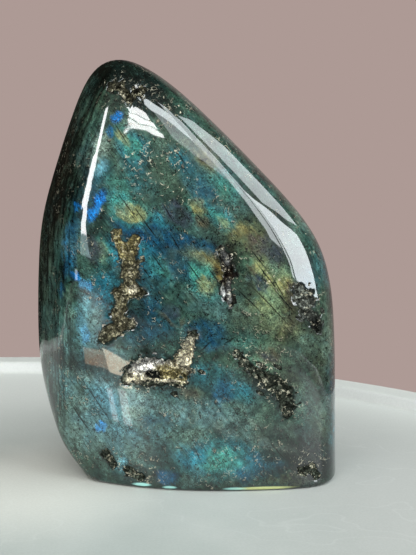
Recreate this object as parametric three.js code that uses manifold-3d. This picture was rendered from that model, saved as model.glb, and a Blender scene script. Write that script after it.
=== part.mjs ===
// A freestanding polished labradorite: one natural stone, ground to soft facets, polished, and cut flat to stand.
// Millimetres, +Z up, the broad front looks along -Y, and the origin is under the middle of the stone at its base.
// The polished form is the soft intersection of the flats that the lapidary ground. Pits of rough rock break it.

import * as THREE from "three";
import { ConvexGeometry } from "three/addons/geometries/ConvexGeometry.js";
import { mergeVertices } from "three/addons/utils/BufferGeometryUtils.js";
import Module from "manifold-3d";

// Driving dimensions

const HEART = new THREE.Vector3(0, 0, 55); // every flat's reach is measured from here
const BASE_EDGE_RADIUS = 1.3; // the small round that breaks the sharp edge of the sawn base
const CAP_START = 92; // above this height the rows fan out from one point, over the crown

// A flat: the way it faces, as degrees round from the front towards the right and degrees upwards, and its reach.
const FRONT_FLATS = [
  { turn: 2, tilt: 3, reach: 19.5 },
  { turn: -24, tilt: -8, reach: 30 },
  { turn: -4, tilt: 13, reach: 28 },
  { turn: 14, tilt: 2, reach: 27 },
];
const LEFT_BEVEL_FLATS = [
  { turn: -57, tilt: 1, reach: 35.9 },
  { turn: -55, tilt: 15, reach: 39.2 },
];
const SIDE_FLATS = [
  { turn: -90, tilt: 22, reach: 51.8 },
  { turn: -90, tilt: 5, reach: 53.3 },
  { turn: -92, tilt: -14, reach: 52.2 },
  { turn: -110, tilt: -42, reach: 55.9 },
  { turn: 90, tilt: 45, reach: 40.8 },
  { turn: 90, tilt: 21, reach: 46.8 },
  { turn: 90, tilt: 1.2, reach: 44 },
  { turn: 50, tilt: 1, reach: 41.6 },
  { turn: 90, tilt: 72, reach: 60.4 },
  { turn: -90, tilt: 62, reach: 73.6 },
];
const BACK_FLATS = [
  { turn: 178, tilt: 6, reach: 20 },
  { turn: 212, tilt: 4, reach: 31 },
  { turn: 148, tilt: 6, reach: 30.5 },
  { turn: 180, tilt: -10, reach: 25 },
];

// How sharply neighbouring flats meet, per millimetre: a high number is a crisp ridge, a low one a broad round.
const FRONT_BLEND = 0.2;
const RIDGE_BLEND = 1.2;
const SIDE_BLEND = 0.3;
const BACK_BLEND = 0.2;
const TIGHT_EDGE_BLEND = 0.4;
const WIDE_EDGE_BLEND = 0.2;
const WIDE_EDGE_START = 28; // how far out along the slope the broad round takes over
const WIDE_EDGE_FADE = 4;

// Mesh fineness of the polished form
const COLUMNS = 70;
const BASE_ROWS = 1;
const EDGE_ROWS = 3;
const WALL_ROWS = 22;
const CROWN_ROWS = 12;
const SECTION_DEPTH_SHARE = 0.45; // depth of a level section over its width

// Pits of unpolished rock. Each run is a chain of lumps, [across, up, radius, depth], cut as one crooked channel.
const FRONT_PITS = [
  {
    name: "long crevice",
    runs: [
      [
        [-18.9, 74.0, 0.7, 0.8],
        [-18.1, 70.7, 1.1, 1.2],
        [-16.6, 68.6, 1.6, 1.8],
        [-15.4, 65.5, 1.9, 2.0],
        [-15.2, 61.6, 1.9, 2.0],
        [-15.0, 58.4, 2.2, 2.2],
      ],
      [
        [-13.6, 71.8, 1.2, 1.2],
        [-14.8, 68.8, 1.7, 1.8],
      ],
      [
        [-13.0, 57.2, 1.4, 1.3],
        [-16.2, 57.6, 1.8, 2.0],
        [-18.4, 56.6, 1.6, 1.6],
        [-17.6, 53.6, 1.6, 1.9],
        [-18.6, 51.0, 1.5, 1.7],
        [-17.8, 48.6, 1.9, 1.9],
        [-20.1, 46.2, 1.6, 1.7],
        [-22.6, 44.0, 1.6, 1.5],
      ],
      [
        [-17.4, 49.4, 1.2, 1.4],
        [-14.6, 47.8, 0.8, 0.7],
      ],
    ],
  },
  {
    name: "shelf pit",
    runs: [
      [
        [-16.8, 32.4, 1.1, 1.0],
        [-14.0, 34.4, 2.2, 2.4],
        [-10.6, 36.4, 3.0, 3.4],
        [-8.0, 35.2, 3.2, 3.6],
        [-4.6, 34.6, 3.0, 3.2],
        [-1.6, 36.2, 2.6, 2.8],
        [0.2, 39.4, 2.0, 2.2],
        [1.5, 43.2, 1.4, 1.5],
        [2.4, 45.8, 0.7, 0.7],
      ],
      [
        [-13.2, 33.0, 1.9, 2.6],
        [-9.6, 33.0, 2.2, 3.8],
        [-4.2, 32.8, 1.8, 2.6],
        [-1.0, 31.6, 1.1, 1.0],
      ],
    ],
  },
  {
    name: "silver seam",
    runs: [
      [
        [9.8, 69.2, 0.8, 0.9],
        [11.2, 66.2, 1.2, 1.3],
        [12.0, 63.0, 1.1, 1.4],
        [11.8, 60.0, 1.0, 1.2],
        [11.4, 57.6, 1.3, 1.3],
        [12.8, 53.8, 0.8, 0.8],
      ],
    ],
  },
  {
    name: "shoulder pit",
    runs: [
      [
        [31.6, 57.6, 1.5, 1.1],
        [34.0, 54.6, 2.1, 1.5],
        [33.2, 51.6, 1.5, 1.2],
        [36.0, 49.4, 1.4, 1.2],
        [37.6, 45.6, 1.0, 0.9],
      ],
    ],
  },
  {
    name: "rough vein",
    runs: [
      [
        [14.0, 40.4, 0.7, 0.7],
        [18.0, 35.8, 1.0, 0.8],
        [21.5, 33.0, 1.3, 1.0],
        [24.6, 31.4, 1.8, 1.2],
        [27.2, 29.6, 2.1, 1.3],
        [28.4, 26.0, 2.1, 1.3],
        [29.0, 22.6, 1.2, 0.9],
      ],
    ],
  },
  {
    name: "foot hollows",
    runs: [
      [
        [-22.8, 9.8, 1.2, 1.0],
        [-21.0, 6.6, 1.0, 0.9],
      ],
      [
        [-16.6, 5.4, 1.0, 0.8],
        [-13.0, 3.4, 1.1, 0.8],
      ],
      [
        [33.6, 4.6, 1.0, 0.8],
        [35.8, 6.0, 1.1, 0.9],
        [37.6, 3.4, 1.0, 0.8],
      ],
    ],
  },
  {
    name: "crown pits",
    runs: [
      [
        [-20.4, 113.6, 0.9, 0.8],
        [-17.2, 113.0, 1.2, 0.9],
        [-15.4, 110.2, 1.2, 1.0],
      ],
      [
        [-14.0, 111.2, 1.0, 0.9],
        [-11.8, 112.2, 0.9, 0.8],
      ],
    ],
  },
];
const BACK_PITS = [
  {
    name: "back hollow",
    runs: [
      [
        [-18.6, 60.0, 1.4, 1.1],
        [-16.2, 57.0, 2.4, 1.8],
        [-12.6, 54.6, 2.6, 2.1],
        [-9.6, 51.0, 1.7, 1.4],
        [-9.4, 47.0, 0.9, 0.8],
      ],
    ],
  },
  {
    name: "back seam",
    runs: [
      [
        [20.4, 41.0, 0.9, 0.8],
        [18.8, 37.2, 1.3, 1.1],
        [17.4, 33.6, 1.4, 1.2],
        [16.2, 29.4, 0.9, 0.8],
      ],
    ],
  },
];
const RAGGEDNESS = 0.3; // how far a lump's corners stray, as a share of its radius
const CROOKEDNESS = 0.55; // how far the channel swings sideways halfway between two lumps, as a share of their radius
const PINCH = 0.3; // how much wider or narrower the channel is there
const CRYSTAL_HOME = 1.8; // only lumps of at least this radius hold a crystal
const CRYSTAL_SHARE = 0.45; // a crystal's radius over its lump's
const CRYSTAL_SEAT = 0.95; // how deep a crystal's middle sits, over its lump's depth
const CRYSTAL_SHIFT = 0.25; // how far it strays sideways, over its lump's radius

// The polished form

function facing({ turn, tilt }) {
  const round = THREE.MathUtils.degToRad(turn);
  const up = THREE.MathUtils.degToRad(tilt);
  return new THREE.Vector3(Math.sin(round) * Math.cos(up), -Math.cos(round) * Math.cos(up), Math.sin(up));
}

function prepared(flats) {
  return flats.map((flat) => ({ normal: facing(flat), reach: flat.reach }));
}

const front = prepared(FRONT_FLATS);
const leftBevel = prepared(LEFT_BEVEL_FLATS);
const sides = prepared(SIDE_FLATS);
const back = prepared(BACK_FLATS);
const slopeWay = facing({ turn: 90, tilt: 45 });

function softMax(values, sharpness) {
  const highest = Math.max(...values);
  const sum = values.reduce((total, value) => total + Math.exp(sharpness * (value - highest)), 0);
  return highest + Math.log(sum) / sharpness;
}

// How far a point lies outside the polished form; negative inside.
function outside(point) {
  const offset = point.clone().sub(HEART);
  const past = (flats) => flats.map(({ normal, reach }) => normal.dot(offset) - reach);
  const face = softMax([softMax(past(front), FRONT_BLEND), softMax(past(leftBevel), 1)], RIDGE_BLEND);
  const wide = 1 / (1 + Math.exp((WIDE_EDGE_START - slopeWay.dot(offset)) / WIDE_EDGE_FADE));
  const edge = TIGHT_EDGE_BLEND + (WIDE_EDGE_BLEND - TIGHT_EDGE_BLEND) * wide;
  return softMax([face, softMax(past(sides), SIDE_BLEND), softMax(past(back), BACK_BLEND)], edge);
}

// The point where a ray from inside leaves the form, set in by inset.
function leaving(start, way, inset = 0) {
  let near = 0;
  let far = 160;
  const at = (length) => start.clone().addScaledVector(way, length);
  for (let step = 0; step < 40; step += 1) {
    const middle = (near + far) / 2;
    if (outside(at(middle)) + inset < 0) near = middle;
    else far = middle;
  }
  return at(near);
}

// The middle line of the stone leans left as it rises.
function spine(height) {
  return new THREE.Vector3(8 - 0.05 * height - 0.0015 * height * height, 0, height);
}

const ROWS = BASE_ROWS + EDGE_ROWS + WALL_ROWS + CROWN_ROWS;

// The place on the stone for a row, counted up from the middle of the base, and an angle round the spine.
function placeOnStone(row, angle) {
  const across = new THREE.Vector3(Math.cos(angle), SECTION_DEPTH_SHARE * Math.sin(angle), 0).normalize();
  if (row < BASE_ROWS) {
    const rim = leaving(spine(0), across, BASE_EDGE_RADIUS);
    return spine(0).lerp(rim, row / BASE_ROWS);
  }
  if (row < BASE_ROWS + EDGE_ROWS) {
    const swing = (((row - BASE_ROWS) / EDGE_ROWS) * Math.PI) / 2;
    const height = BASE_EDGE_RADIUS * (1 - Math.cos(swing));
    return leaving(spine(height), across, BASE_EDGE_RADIUS * (1 - Math.sin(swing)));
  }
  if (row <= BASE_ROWS + EDGE_ROWS + WALL_ROWS) {
    const share = (row - BASE_ROWS - EDGE_ROWS) / WALL_ROWS;
    return leaving(spine(BASE_EDGE_RADIUS + (CAP_START - BASE_EDGE_RADIUS) * share), across);
  }
  const climb = (((row - ROWS + CROWN_ROWS) / CROWN_ROWS) * Math.PI) / 2;
  const way = across.clone().multiplyScalar(Math.cos(climb)).setZ(Math.sin(climb));
  return leaving(spine(CAP_START), way.normalize());
}

// A sphere's rows and columns, moved onto the stone.
function polishedForm() {
  const geometry = new THREE.SphereGeometry(1, COLUMNS, ROWS).rotateX(Math.PI / 2);
  const position = geometry.getAttribute("position");
  const vertex = new THREE.Vector3();
  for (let i = 0; i < position.count; i += 1) {
    vertex.fromBufferAttribute(position, i);
    const latitude = Math.asin(THREE.MathUtils.clamp(vertex.z, -1, 1));
    const row = Math.round((latitude / Math.PI + 0.5) * ROWS);
    const column = Math.round((Math.atan2(vertex.y, vertex.x) / (2 * Math.PI)) * COLUMNS);
    const place = placeOnStone(row, (2 * Math.PI * column) / COLUMNS);
    position.setXYZ(i, place.x, place.y, place.z);
  }
  return geometry;
}

// Pits and the crystals in them

// The same stray number between -1 and 1 for the same seed, every time.
function stray(seed) {
  const wave = Math.sin(seed * 127.1 + 11.7) * 43758.5453;
  return 2 * (wave - Math.floor(wave)) - 1;
}

function surfacePoint(across, up, outward) {
  return leaving(new THREE.Vector3(across, 0, up), new THREE.Vector3(0, outward, 0));
}

// The corners of an icosahedron about a point, each strayed in or out.
function lumpCorners(centre, radius, halfDepth, seed) {
  const shell = new THREE.IcosahedronGeometry(1, 0).deleteAttribute("normal").deleteAttribute("uv");
  const position = mergeVertices(shell).getAttribute("position");
  const size = new THREE.Vector3(radius, halfDepth, radius);
  return Array.from({ length: position.count }, (_, i) =>
    new THREE.Vector3()
      .fromBufferAttribute(position, i)
      .multiplyScalar(1 + RAGGEDNESS * stray(seed + i * 0.37))
      .multiply(size)
      .add(centre),
  );
}

const wasm = await Module();
wasm.setup();

function solidFrom(geometry) {
  const bare = geometry.clone().deleteAttribute("normal").deleteAttribute("uv");
  const merged = mergeVertices(bare, 1e-4);
  return new wasm.Manifold(
    new wasm.Mesh({
      numProp: 3,
      vertProperties: merged.getAttribute("position").array,
      triVerts: new Uint32Array(merged.index.array),
    }),
  );
}

function geometryFrom(solid) {
  const { vertProperties, triVerts } = solid.getMesh();
  return new THREE.BufferGeometry()
    .setAttribute("position", new THREE.BufferAttribute(vertProperties, 3))
    .setIndex(new THREE.BufferAttribute(triVerts, 1));
}

// A run with one more lump halfway between each two, swung aside and pinched or swollen.
function crooked(run, seed) {
  return run.flatMap((lump, i) => {
    if (i === 0) return [lump];
    const [across, up, radius, depth] = lump.map((value, axis) => (value + run[i - 1][axis]) / 2);
    const swell = 1 + PINCH * stray(seed + i * 1.3);
    const swing = CROOKEDNESS * radius;
    const between = [
      across + swing * stray(seed + i * 2.1),
      up + swing * stray(seed + i * 3.7),
      radius * swell,
      depth * swell,
    ];
    return [between, lump];
  });
}

// Cuts the pits into a stone, on the side that outward points to, and leaves crystals standing in the wide ones.
function withPits(stone, pits, outward, firstSeed) {
  let pitted = stone;
  let seed = firstSeed;
  const crystals = [];
  for (const run of pits.flatMap((pit) => pit.runs)) {
    let previous = null;
    for (const [across, up, radius, depth] of crooked(run, seed)) {
      seed += 1;
      const mouth = surfacePoint(across, up, outward);
      const corners = lumpCorners(mouth, radius, depth, seed);
      if (previous) pitted = pitted.subtract(solidFrom(new ConvexGeometry([...previous, ...corners])));
      previous = corners;
      if (radius >= CRYSTAL_HOME) {
        const shift = CRYSTAL_SHIFT * radius;
        const seat = new THREE.Vector3(
          mouth.x + shift * stray(seed + 0.5),
          mouth.y - outward * CRYSTAL_SEAT * depth,
          mouth.z + shift * stray(seed + 0.8),
        );
        crystals.push(lumpCorners(seat, CRYSTAL_SHARE * radius, CRYSTAL_SHARE * depth, seed + 0.2));
      }
    }
  }
  for (const corners of crystals) pitted = pitted.add(solidFrom(new ConvexGeometry(corners)));
  return pitted;
}

// The stone, centred over the origin

const frontPitted = withPits(solidFrom(polishedForm()), FRONT_PITS, -1, 0);
const stoneGeometry = geometryFrom(withPits(frontPitted, BACK_PITS, 1, 100));
stoneGeometry.computeBoundingBox();
const middle = stoneGeometry.boundingBox.getCenter(new THREE.Vector3());
stoneGeometry.translate(-middle.x, -middle.y, 0);
const facetedGeometry = stoneGeometry.toNonIndexed();
facetedGeometry.computeVertexNormals();

const labradorite = new THREE.MeshStandardMaterial({ color: 0x2f4a4c, roughness: 0.12, metalness: 0.1 });

const stone = new THREE.Mesh(facetedGeometry, labradorite);
stone.name = "labradorite_stone";

const piece = new THREE.Group();
piece.add(stone);

export default piece;
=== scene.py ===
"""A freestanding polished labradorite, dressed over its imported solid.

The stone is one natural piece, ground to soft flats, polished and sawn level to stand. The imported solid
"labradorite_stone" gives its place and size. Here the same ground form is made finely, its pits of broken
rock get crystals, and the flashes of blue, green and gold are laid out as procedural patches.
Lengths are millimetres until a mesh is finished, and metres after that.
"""

import logging
import math
import random
from collections.abc import Iterator, Sequence
from dataclasses import dataclass
from enum import Enum

import bmesh
import bpy
import numpy as np
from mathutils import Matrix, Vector, kdtree, noise


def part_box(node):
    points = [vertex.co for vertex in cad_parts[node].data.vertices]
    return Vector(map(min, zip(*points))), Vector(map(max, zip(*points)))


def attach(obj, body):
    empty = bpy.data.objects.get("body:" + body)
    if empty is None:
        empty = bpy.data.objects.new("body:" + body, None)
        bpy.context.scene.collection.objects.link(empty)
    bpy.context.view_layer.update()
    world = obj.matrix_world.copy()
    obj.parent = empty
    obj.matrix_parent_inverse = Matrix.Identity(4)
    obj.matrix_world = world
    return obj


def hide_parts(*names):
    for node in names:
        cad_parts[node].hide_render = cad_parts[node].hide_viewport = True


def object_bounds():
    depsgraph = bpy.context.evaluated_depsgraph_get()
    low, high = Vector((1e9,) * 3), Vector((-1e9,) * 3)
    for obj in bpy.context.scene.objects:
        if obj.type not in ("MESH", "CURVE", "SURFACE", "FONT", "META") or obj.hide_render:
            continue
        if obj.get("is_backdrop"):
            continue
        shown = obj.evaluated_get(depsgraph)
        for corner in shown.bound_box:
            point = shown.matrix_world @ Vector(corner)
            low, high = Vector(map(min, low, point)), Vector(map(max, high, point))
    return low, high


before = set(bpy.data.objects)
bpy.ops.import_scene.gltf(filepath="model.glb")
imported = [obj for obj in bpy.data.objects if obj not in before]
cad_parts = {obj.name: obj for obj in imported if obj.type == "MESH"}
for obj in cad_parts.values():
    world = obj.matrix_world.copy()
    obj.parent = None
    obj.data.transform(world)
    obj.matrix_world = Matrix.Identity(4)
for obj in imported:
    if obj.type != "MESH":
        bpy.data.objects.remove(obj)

Colour = tuple[float, float, float, float]
Socket = bpy.types.NodeSocket

LOG = logging.getLogger("labradorite")
NODE = "labradorite_stone"
BODY = "root"
MM = 0.001
SIDE_OF_FRONT = -1
SIDE_OF_BACK = 1
# How far a patch of colour reaches into the stone, in millimetres.
PATCH_DEPTH = 14.0
# More radii than any point lies from a pit.
FAR_OFF = 99.0
# Hardly any two vertices share a place along this way, so it puts them in a fixed order.
ORDER = Vector((0.61803, 0.44371, 0.27129))
DAYLIGHT = (0.9, 0.97, 1.0)
# The points of the stone that the light panels face, in metres.
SHOULDER = (0.018, -0.012, 0.085)
CROWN = (-0.009, -0.013, 0.103)
RIDGE = (-0.025, -0.014, 0.088)
FOOT = (-0.018, -0.016, 0.039)
HEEL = (-0.02, -0.016, 0.0265)


class Tone(Enum):
    """The stone's own colours, as seen in neutral light, and a few colours of painted reflections and
    glints on it.
    """

    BLACK_GREEN = "#131a17"
    BLACK_BROWN = "#171009"
    UMBER = "#221d18"
    BROWN = "#524a3c"
    UMBER_GOLD = "#62502c"
    BRONZE = "#7e7048"
    OLIVE_GOLD = "#a29b6a"
    OLIVE_GREY = "#4c5644"
    SAGE = "#769078"
    MOSS = "#46594f"
    ASH = "#56706a"
    SLATE = "#4c686e"
    MAUVE = "#554c4a"
    MAUVE_SLATE = "#3d4452"
    TEAL_GREEN = "#4a9084"
    TEAL = "#348a9e"
    STEEL_BLUE = "#22687c"
    DUSK_BLUE = "#1e4a60"
    DEEP_BLUE = "#0b4464"
    BLUE = "#1a5a84"
    VIVID_BLUE = "#1286ea"
    SKY_BLUE = "#4c9ae0"
    PALE_BLUE = "#78aec4"
    CREAM = "#e6dfc4"
    SILVER = "#c6cac8"
    LAVENDER = "#8b9088"
    HONEY = "#968c5e"
    GRAPHITE = "#0e120f"
    OLIVE_ROCK = "#827d62"
    DARK_ROCK = "#3f463c"
    CROWN_ROCK = "#4a493a"
    WHITE = "#ffffff"
    SPARSE = "#505050"
    # Painted glints on crystals of broken rock.
    GLINT = "#e9e3c8"
    BODY_DARK = "#122c29"
    BODY_GREEN = "#335049"
    BODY_PALE = "#5c766f"
    # Painted reflection: pale light mirrored in the polish.
    REFLECTION_GREY = "#9db4b4"
    # Painted reflection: the pale floor's veil mirrored low in the polish.
    REFLECTION_SLATE = "#6a8a90"
    # The next two are painted glints in the base's sawn edge.
    GLINT_CYAN = "#a8e6de"
    GLINT_YELLOW = "#c8cf8e"


def linear(tone: Tone | str) -> Colour:
    """Turns a tone into the scene's linear colour.

    Args:
        tone: A named tone or a six-digit colour with its hash sign.

    Returns:
        Red, green, blue and an alpha of 1.
    """
    text = (tone.value if isinstance(tone, Tone) else tone).lstrip("#")
    channels = (int(text[i : i + 2], 16) / 255 for i in (0, 2, 4))
    red, green, blue = (c / 12.92 if c <= 0.04045 else ((c + 0.055) / 1.055) ** 2.4 for c in channels)
    return red, green, blue, 1.0


# The ground form


@dataclass(frozen=True)
class Flat:
    """One flat left by the grinding wheel.

    Attributes:
        turn: Degrees from the front towards the right.
        tilt: Degrees upwards.
        reach: Distance from the heart of the stone.
    """

    turn: float
    tilt: float
    reach: float

    def normal(self) -> np.ndarray:
        """The way the flat faces."""
        turn, tilt = math.radians(self.turn), math.radians(self.tilt)
        level = math.cos(tilt)
        return np.array([math.sin(turn) * level, -math.cos(turn) * level, math.sin(tilt)])


def soft_max(values: Sequence[np.ndarray], sharpness: float | np.ndarray) -> np.ndarray:
    """Blends distances so that flats meet in a round instead of a crease.

    Args:
        values: Distances past each flat, one array for each.
        sharpness: How crisp the meeting is, per millimetre.

    Returns:
        The blended distances.
    """
    stack = np.stack(values)
    highest = stack.max(axis=0)
    return highest + np.log(np.exp(sharpness * (stack - highest)).sum(axis=0)) / sharpness


@dataclass(frozen=True)
class GroundForm:
    """The polished outer form as a soft intersection of flats, in millimetres.

    Attributes:
        heart: The point that the flats are measured from.
        base_edge_radius: Radius of the small round at the base's edge.
        cap_start: Height where the rows of vertices turn over the crown.
        section_depth_share: Depth over width of the sections that the columns fan out in.
        spine: Where the stone's middle line stands, how it leans and how it bends.
        front: The flats of the front.
        left_bevel: The flats of the narrow bevel on the left.
        sides: The flats of the sides, the slope and the crown.
        back: The flats of the back.
        front_blend: How crisply the front's flats meet, per millimetre.
        bevel_blend: The same for the bevel's flats.
        ridge_blend: The same where the front meets the bevel.
        side_blend: The same for the sides.
        back_blend: The same for the back.
        tight_edge_blend: The same where the faces meet the sides.
        wide_edge_blend: The same on the rounder upper slope.
        wide_edge_start: Distance up the slope where its round widens.
        wide_edge_fade: Distance over which it does.
    """

    heart: tuple[float, float, float] = (0.0, 0.0, 55.0)
    base_edge_radius: float = 1.3
    cap_start: float = 92.0
    section_depth_share: float = 0.45
    spine: tuple[float, float, float] = (8.0, -0.05, -0.0015)
    front: tuple[Flat, ...] = (Flat(2, 3, 19.5), Flat(-24, -8, 30), Flat(-4, 13, 28), Flat(14, 2, 27))
    left_bevel: tuple[Flat, ...] = (Flat(-57, 1, 35.9), Flat(-55, 15, 39.2))
    sides: tuple[Flat, ...] = (
        Flat(-90, 22, 51.8),
        Flat(-90, 5, 53.3),
        Flat(-92, -14, 52.2),
        Flat(-110, -42, 55.9),
        Flat(90, 45, 40.8),
        Flat(90, 21, 46.8),
        Flat(90, 1.2, 44),
        Flat(50, 1, 41.6),
        Flat(90, 72, 60.4),
        Flat(-90, 62, 73.6),
    )
    back: tuple[Flat, ...] = (Flat(178, 6, 20), Flat(212, 4, 31), Flat(148, 6, 30.5), Flat(180, -10, 25))
    front_blend: float = 0.2
    bevel_blend: float = 1.0
    ridge_blend: float = 1.2
    side_blend: float = 0.3
    back_blend: float = 0.2
    tight_edge_blend: float = 0.4
    wide_edge_blend: float = 0.2
    wide_edge_start: float = 28.0
    wide_edge_fade: float = 4.0

    def _past(self, offset: np.ndarray, flats: Sequence[Flat], sharpness: float) -> np.ndarray:
        """Blended distance of points past one family of flats."""
        return soft_max([offset @ flat.normal() - flat.reach for flat in flats], sharpness)

    def outside(self, points: np.ndarray) -> np.ndarray:
        """How far points lie outside the form.

        Args:
            points: One row of three for each point.

        Returns:
            One distance for each point, negative inside.
        """
        offset = points - np.array(self.heart)
        face = soft_max(
            [
                self._past(offset, self.front, self.front_blend),
                self._past(offset, self.left_bevel, self.bevel_blend),
            ],
            self.ridge_blend,
        )
        up_the_slope = offset @ Flat(90, 45, 0).normal()
        wide = 1 / (1 + np.exp((self.wide_edge_start - up_the_slope) / self.wide_edge_fade))
        edge = self.tight_edge_blend + (self.wide_edge_blend - self.tight_edge_blend) * wide
        flanks = self._past(offset, self.sides, self.side_blend)
        behind = self._past(offset, self.back, self.back_blend)
        return soft_max([face, flanks, behind], edge)

    def slopes(self, points: np.ndarray) -> np.ndarray:
        """The rate at which outside() grows along each axis.

        Args:
            points: One row of three for each point.

        Returns:
            One row of three for each point.
        """
        step = 0.01
        steps = step * np.eye(3)
        rises = [self.outside(points + one) - self.outside(points - one) for one in steps]
        return np.stack(rises, axis=1) / (2 * step)

    def normals(self, points: np.ndarray) -> np.ndarray:
        """Unit normals of the form at points on it.

        Args:
            points: One row of three for each point.

        Returns:
            One unit row for each point.
        """
        slopes = self.slopes(points)
        return slopes / np.linalg.norm(slopes, axis=1, keepdims=True)

    def leaving(self, start: np.ndarray, way: np.ndarray, inset: np.ndarray) -> np.ndarray:
        """Where rays from inside leave the form.

        Args:
            start: Where each ray starts.
            way: The way each ray goes.
            inset: How far inside the form each ray stops.

        Returns:
            One point for each ray.
        """
        ways = way / np.linalg.norm(way, axis=1, keepdims=True)
        longest, halvings = 160.0, 34
        near, far = np.zeros(len(start)), np.full(len(start), longest)
        for _ in range(halvings):
            middle = (near + far) / 2
            inside = self.outside(start + ways * middle[:, None]) + inset < 0
            near, far = np.where(inside, middle, near), np.where(inside, far, middle)
        return start + ways * near[:, None]

    def settle(self, points: np.ndarray) -> np.ndarray:
        """Moves nearby points onto the form.

        Args:
            points: One row of three for each point.

        Returns:
            The moved points.
        """
        moved = points.copy()
        rounds = 3
        for _ in range(rounds):
            slopes = self.slopes(moved)
            moved -= slopes * (self.outside(moved) / (slopes**2).sum(axis=1))[:, None]
        return moved

    def middle(self, height: np.ndarray) -> np.ndarray:
        """The middle line of the stone, which leans left as it rises.

        Args:
            height: Heights above the base.

        Returns:
            One point for each height.
        """
        place, lean, bend = self.spine
        return np.stack([place + lean * height + bend * height**2, 0 * height, height], axis=1)


# The pits


@dataclass(frozen=True)
class Pit:
    """A pit of broken rock, as crooked channels of lumps.

    Attributes:
        name: What the log calls it.
        runs: Chains of lumps, each lump as across, up, radius and depth.
        side: The side it is cut into, -1 for the front and 1 for the back.
    """

    name: str
    runs: tuple[tuple[tuple[float, float, float, float], ...], ...]
    side: int = SIDE_OF_FRONT

    def reach(self, points: np.ndarray) -> tuple[np.ndarray, np.ndarray]:
        """How near points are to the pit's middle lines.

        Args:
            points: One row of three for each point.

        Returns:
            The distance from the middle line over the pit's radius there, and the depth there.
        """
        ratio, depth = np.full(len(points), FAR_OFF), np.zeros(len(points))
        flat = points[:, (0, 2)]
        for run in self.runs:
            lumps = np.array(run)
            for first, second in zip(lumps, lumps[1:]):
                line = second[:2] - first[:2]
                share = np.clip((flat - first[:2]) @ line / (line @ line), 0, 1)
                here = first + share[:, None] * (second - first)
                near = np.linalg.norm(flat - here[:, :2], axis=1) / here[:, 2]
                nearer = near < ratio
                ratio, depth = np.where(nearer, near, ratio), np.where(nearer, here[:, 3], depth)
        return np.where(points[:, 1] * self.side > 0, ratio, FAR_OFF), depth


PITS = (
    Pit(
        "long crevice",
        (
            (
                (-18.9, 74.0, 0.7, 0.8),
                (-18.1, 70.7, 1.1, 1.2),
                (-16.6, 68.6, 1.6, 1.8),
                (-15.4, 65.5, 1.9, 2.0),
                (-15.2, 61.6, 1.9, 2.0),
                (-15.0, 58.4, 2.2, 2.2),
            ),
            ((-13.6, 71.8, 1.2, 1.2), (-14.8, 68.8, 1.7, 1.8)),
            (
                (-13.0, 57.2, 1.4, 1.3),
                (-16.2, 57.6, 1.8, 2.0),
                (-18.4, 56.6, 1.6, 1.6),
                (-17.6, 53.6, 1.6, 1.9),
                (-18.6, 51.0, 1.5, 1.7),
                (-17.8, 48.6, 1.9, 1.9),
                (-20.1, 46.2, 1.6, 1.7),
                (-22.6, 44.0, 1.6, 1.5),
            ),
            ((-17.4, 49.4, 1.2, 1.4), (-14.6, 47.8, 0.8, 0.7)),
        ),
    ),
    Pit(
        "shelf pit",
        (
            (
                (-16.8, 32.4, 1.1, 1.0),
                (-14.0, 34.4, 2.2, 2.4),
                (-10.6, 36.4, 3.0, 3.4),
                (-8.0, 35.2, 3.2, 3.6),
                (-4.6, 34.6, 3.0, 3.2),
                (-1.6, 36.2, 2.6, 2.8),
                (0.2, 39.4, 2.0, 2.2),
                (1.5, 43.2, 1.4, 1.5),
                (2.4, 45.8, 0.7, 0.7),
            ),
            (
                (-13.2, 33.0, 1.9, 2.6),
                (-9.6, 33.0, 2.2, 3.8),
                (-4.2, 32.8, 1.8, 2.6),
                (-1.0, 31.6, 1.1, 1.0),
            ),
        ),
    ),
    Pit(
        "silver seam",
        (
            (
                (9.8, 69.2, 0.8, 0.9),
                (11.2, 66.2, 1.2, 1.3),
                (12.0, 63.0, 1.1, 1.4),
                (11.8, 60.0, 1.0, 1.2),
                (11.4, 57.6, 1.3, 1.3),
                (12.8, 53.8, 0.8, 0.8),
            ),
        ),
    ),
    Pit(
        "shoulder pit",
        (
            (
                (31.6, 57.6, 1.5, 1.1),
                (34.0, 54.6, 2.1, 1.5),
                (33.2, 51.6, 1.5, 1.2),
                (36.0, 49.4, 1.4, 1.2),
                (37.6, 45.6, 1.0, 0.9),
            ),
        ),
    ),
    Pit(
        "rough vein",
        (
            (
                (14.0, 40.4, 0.7, 0.7),
                (18.0, 35.8, 1.0, 0.8),
                (21.5, 33.0, 1.3, 1.0),
                (24.6, 31.4, 1.8, 1.2),
                (27.2, 29.6, 2.1, 1.3),
                (28.4, 26.0, 2.1, 1.3),
                (29.0, 22.6, 1.2, 0.9),
            ),
        ),
    ),
    Pit(
        "foot hollows",
        (
            ((-22.8, 9.8, 1.2, 1.0), (-21.0, 6.6, 1.0, 0.9)),
            ((-16.6, 5.4, 1.0, 0.8), (-13.0, 3.4, 1.1, 0.8)),
            ((33.6, 4.6, 1.0, 0.8), (35.8, 6.0, 1.1, 0.9), (37.6, 3.4, 1.0, 0.8)),
        ),
    ),
    Pit(
        "crown pits",
        (
            ((-20.4, 113.6, 0.9, 0.8), (-17.2, 113.0, 1.2, 0.9), (-15.4, 110.2, 1.2, 1.0)),
            ((-14.0, 111.2, 1.0, 0.9), (-11.8, 112.2, 0.9, 0.8)),
        ),
    ),
    Pit(
        "back hollow",
        (
            (
                (-18.6, 60.0, 1.4, 1.1),
                (-16.2, 57.0, 2.4, 1.8),
                (-12.6, 54.6, 2.6, 2.1),
                (-9.6, 51.0, 1.7, 1.4),
                (-9.4, 47.0, 0.9, 0.8),
            ),
        ),
        SIDE_OF_BACK,
    ),
    Pit(
        "back seam",
        (((20.4, 41.0, 0.9, 0.8), (18.8, 37.2, 1.3, 1.1), (17.4, 33.6, 1.4, 1.2), (16.2, 29.4, 0.9, 0.8)),),
        SIDE_OF_BACK,
    ),
)


def rough(point: Vector, size: float) -> float:
    """Smooth noise from -1 to 1 whose bumps are about that many millimetres across."""
    return noise.noise(point / size)


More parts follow.
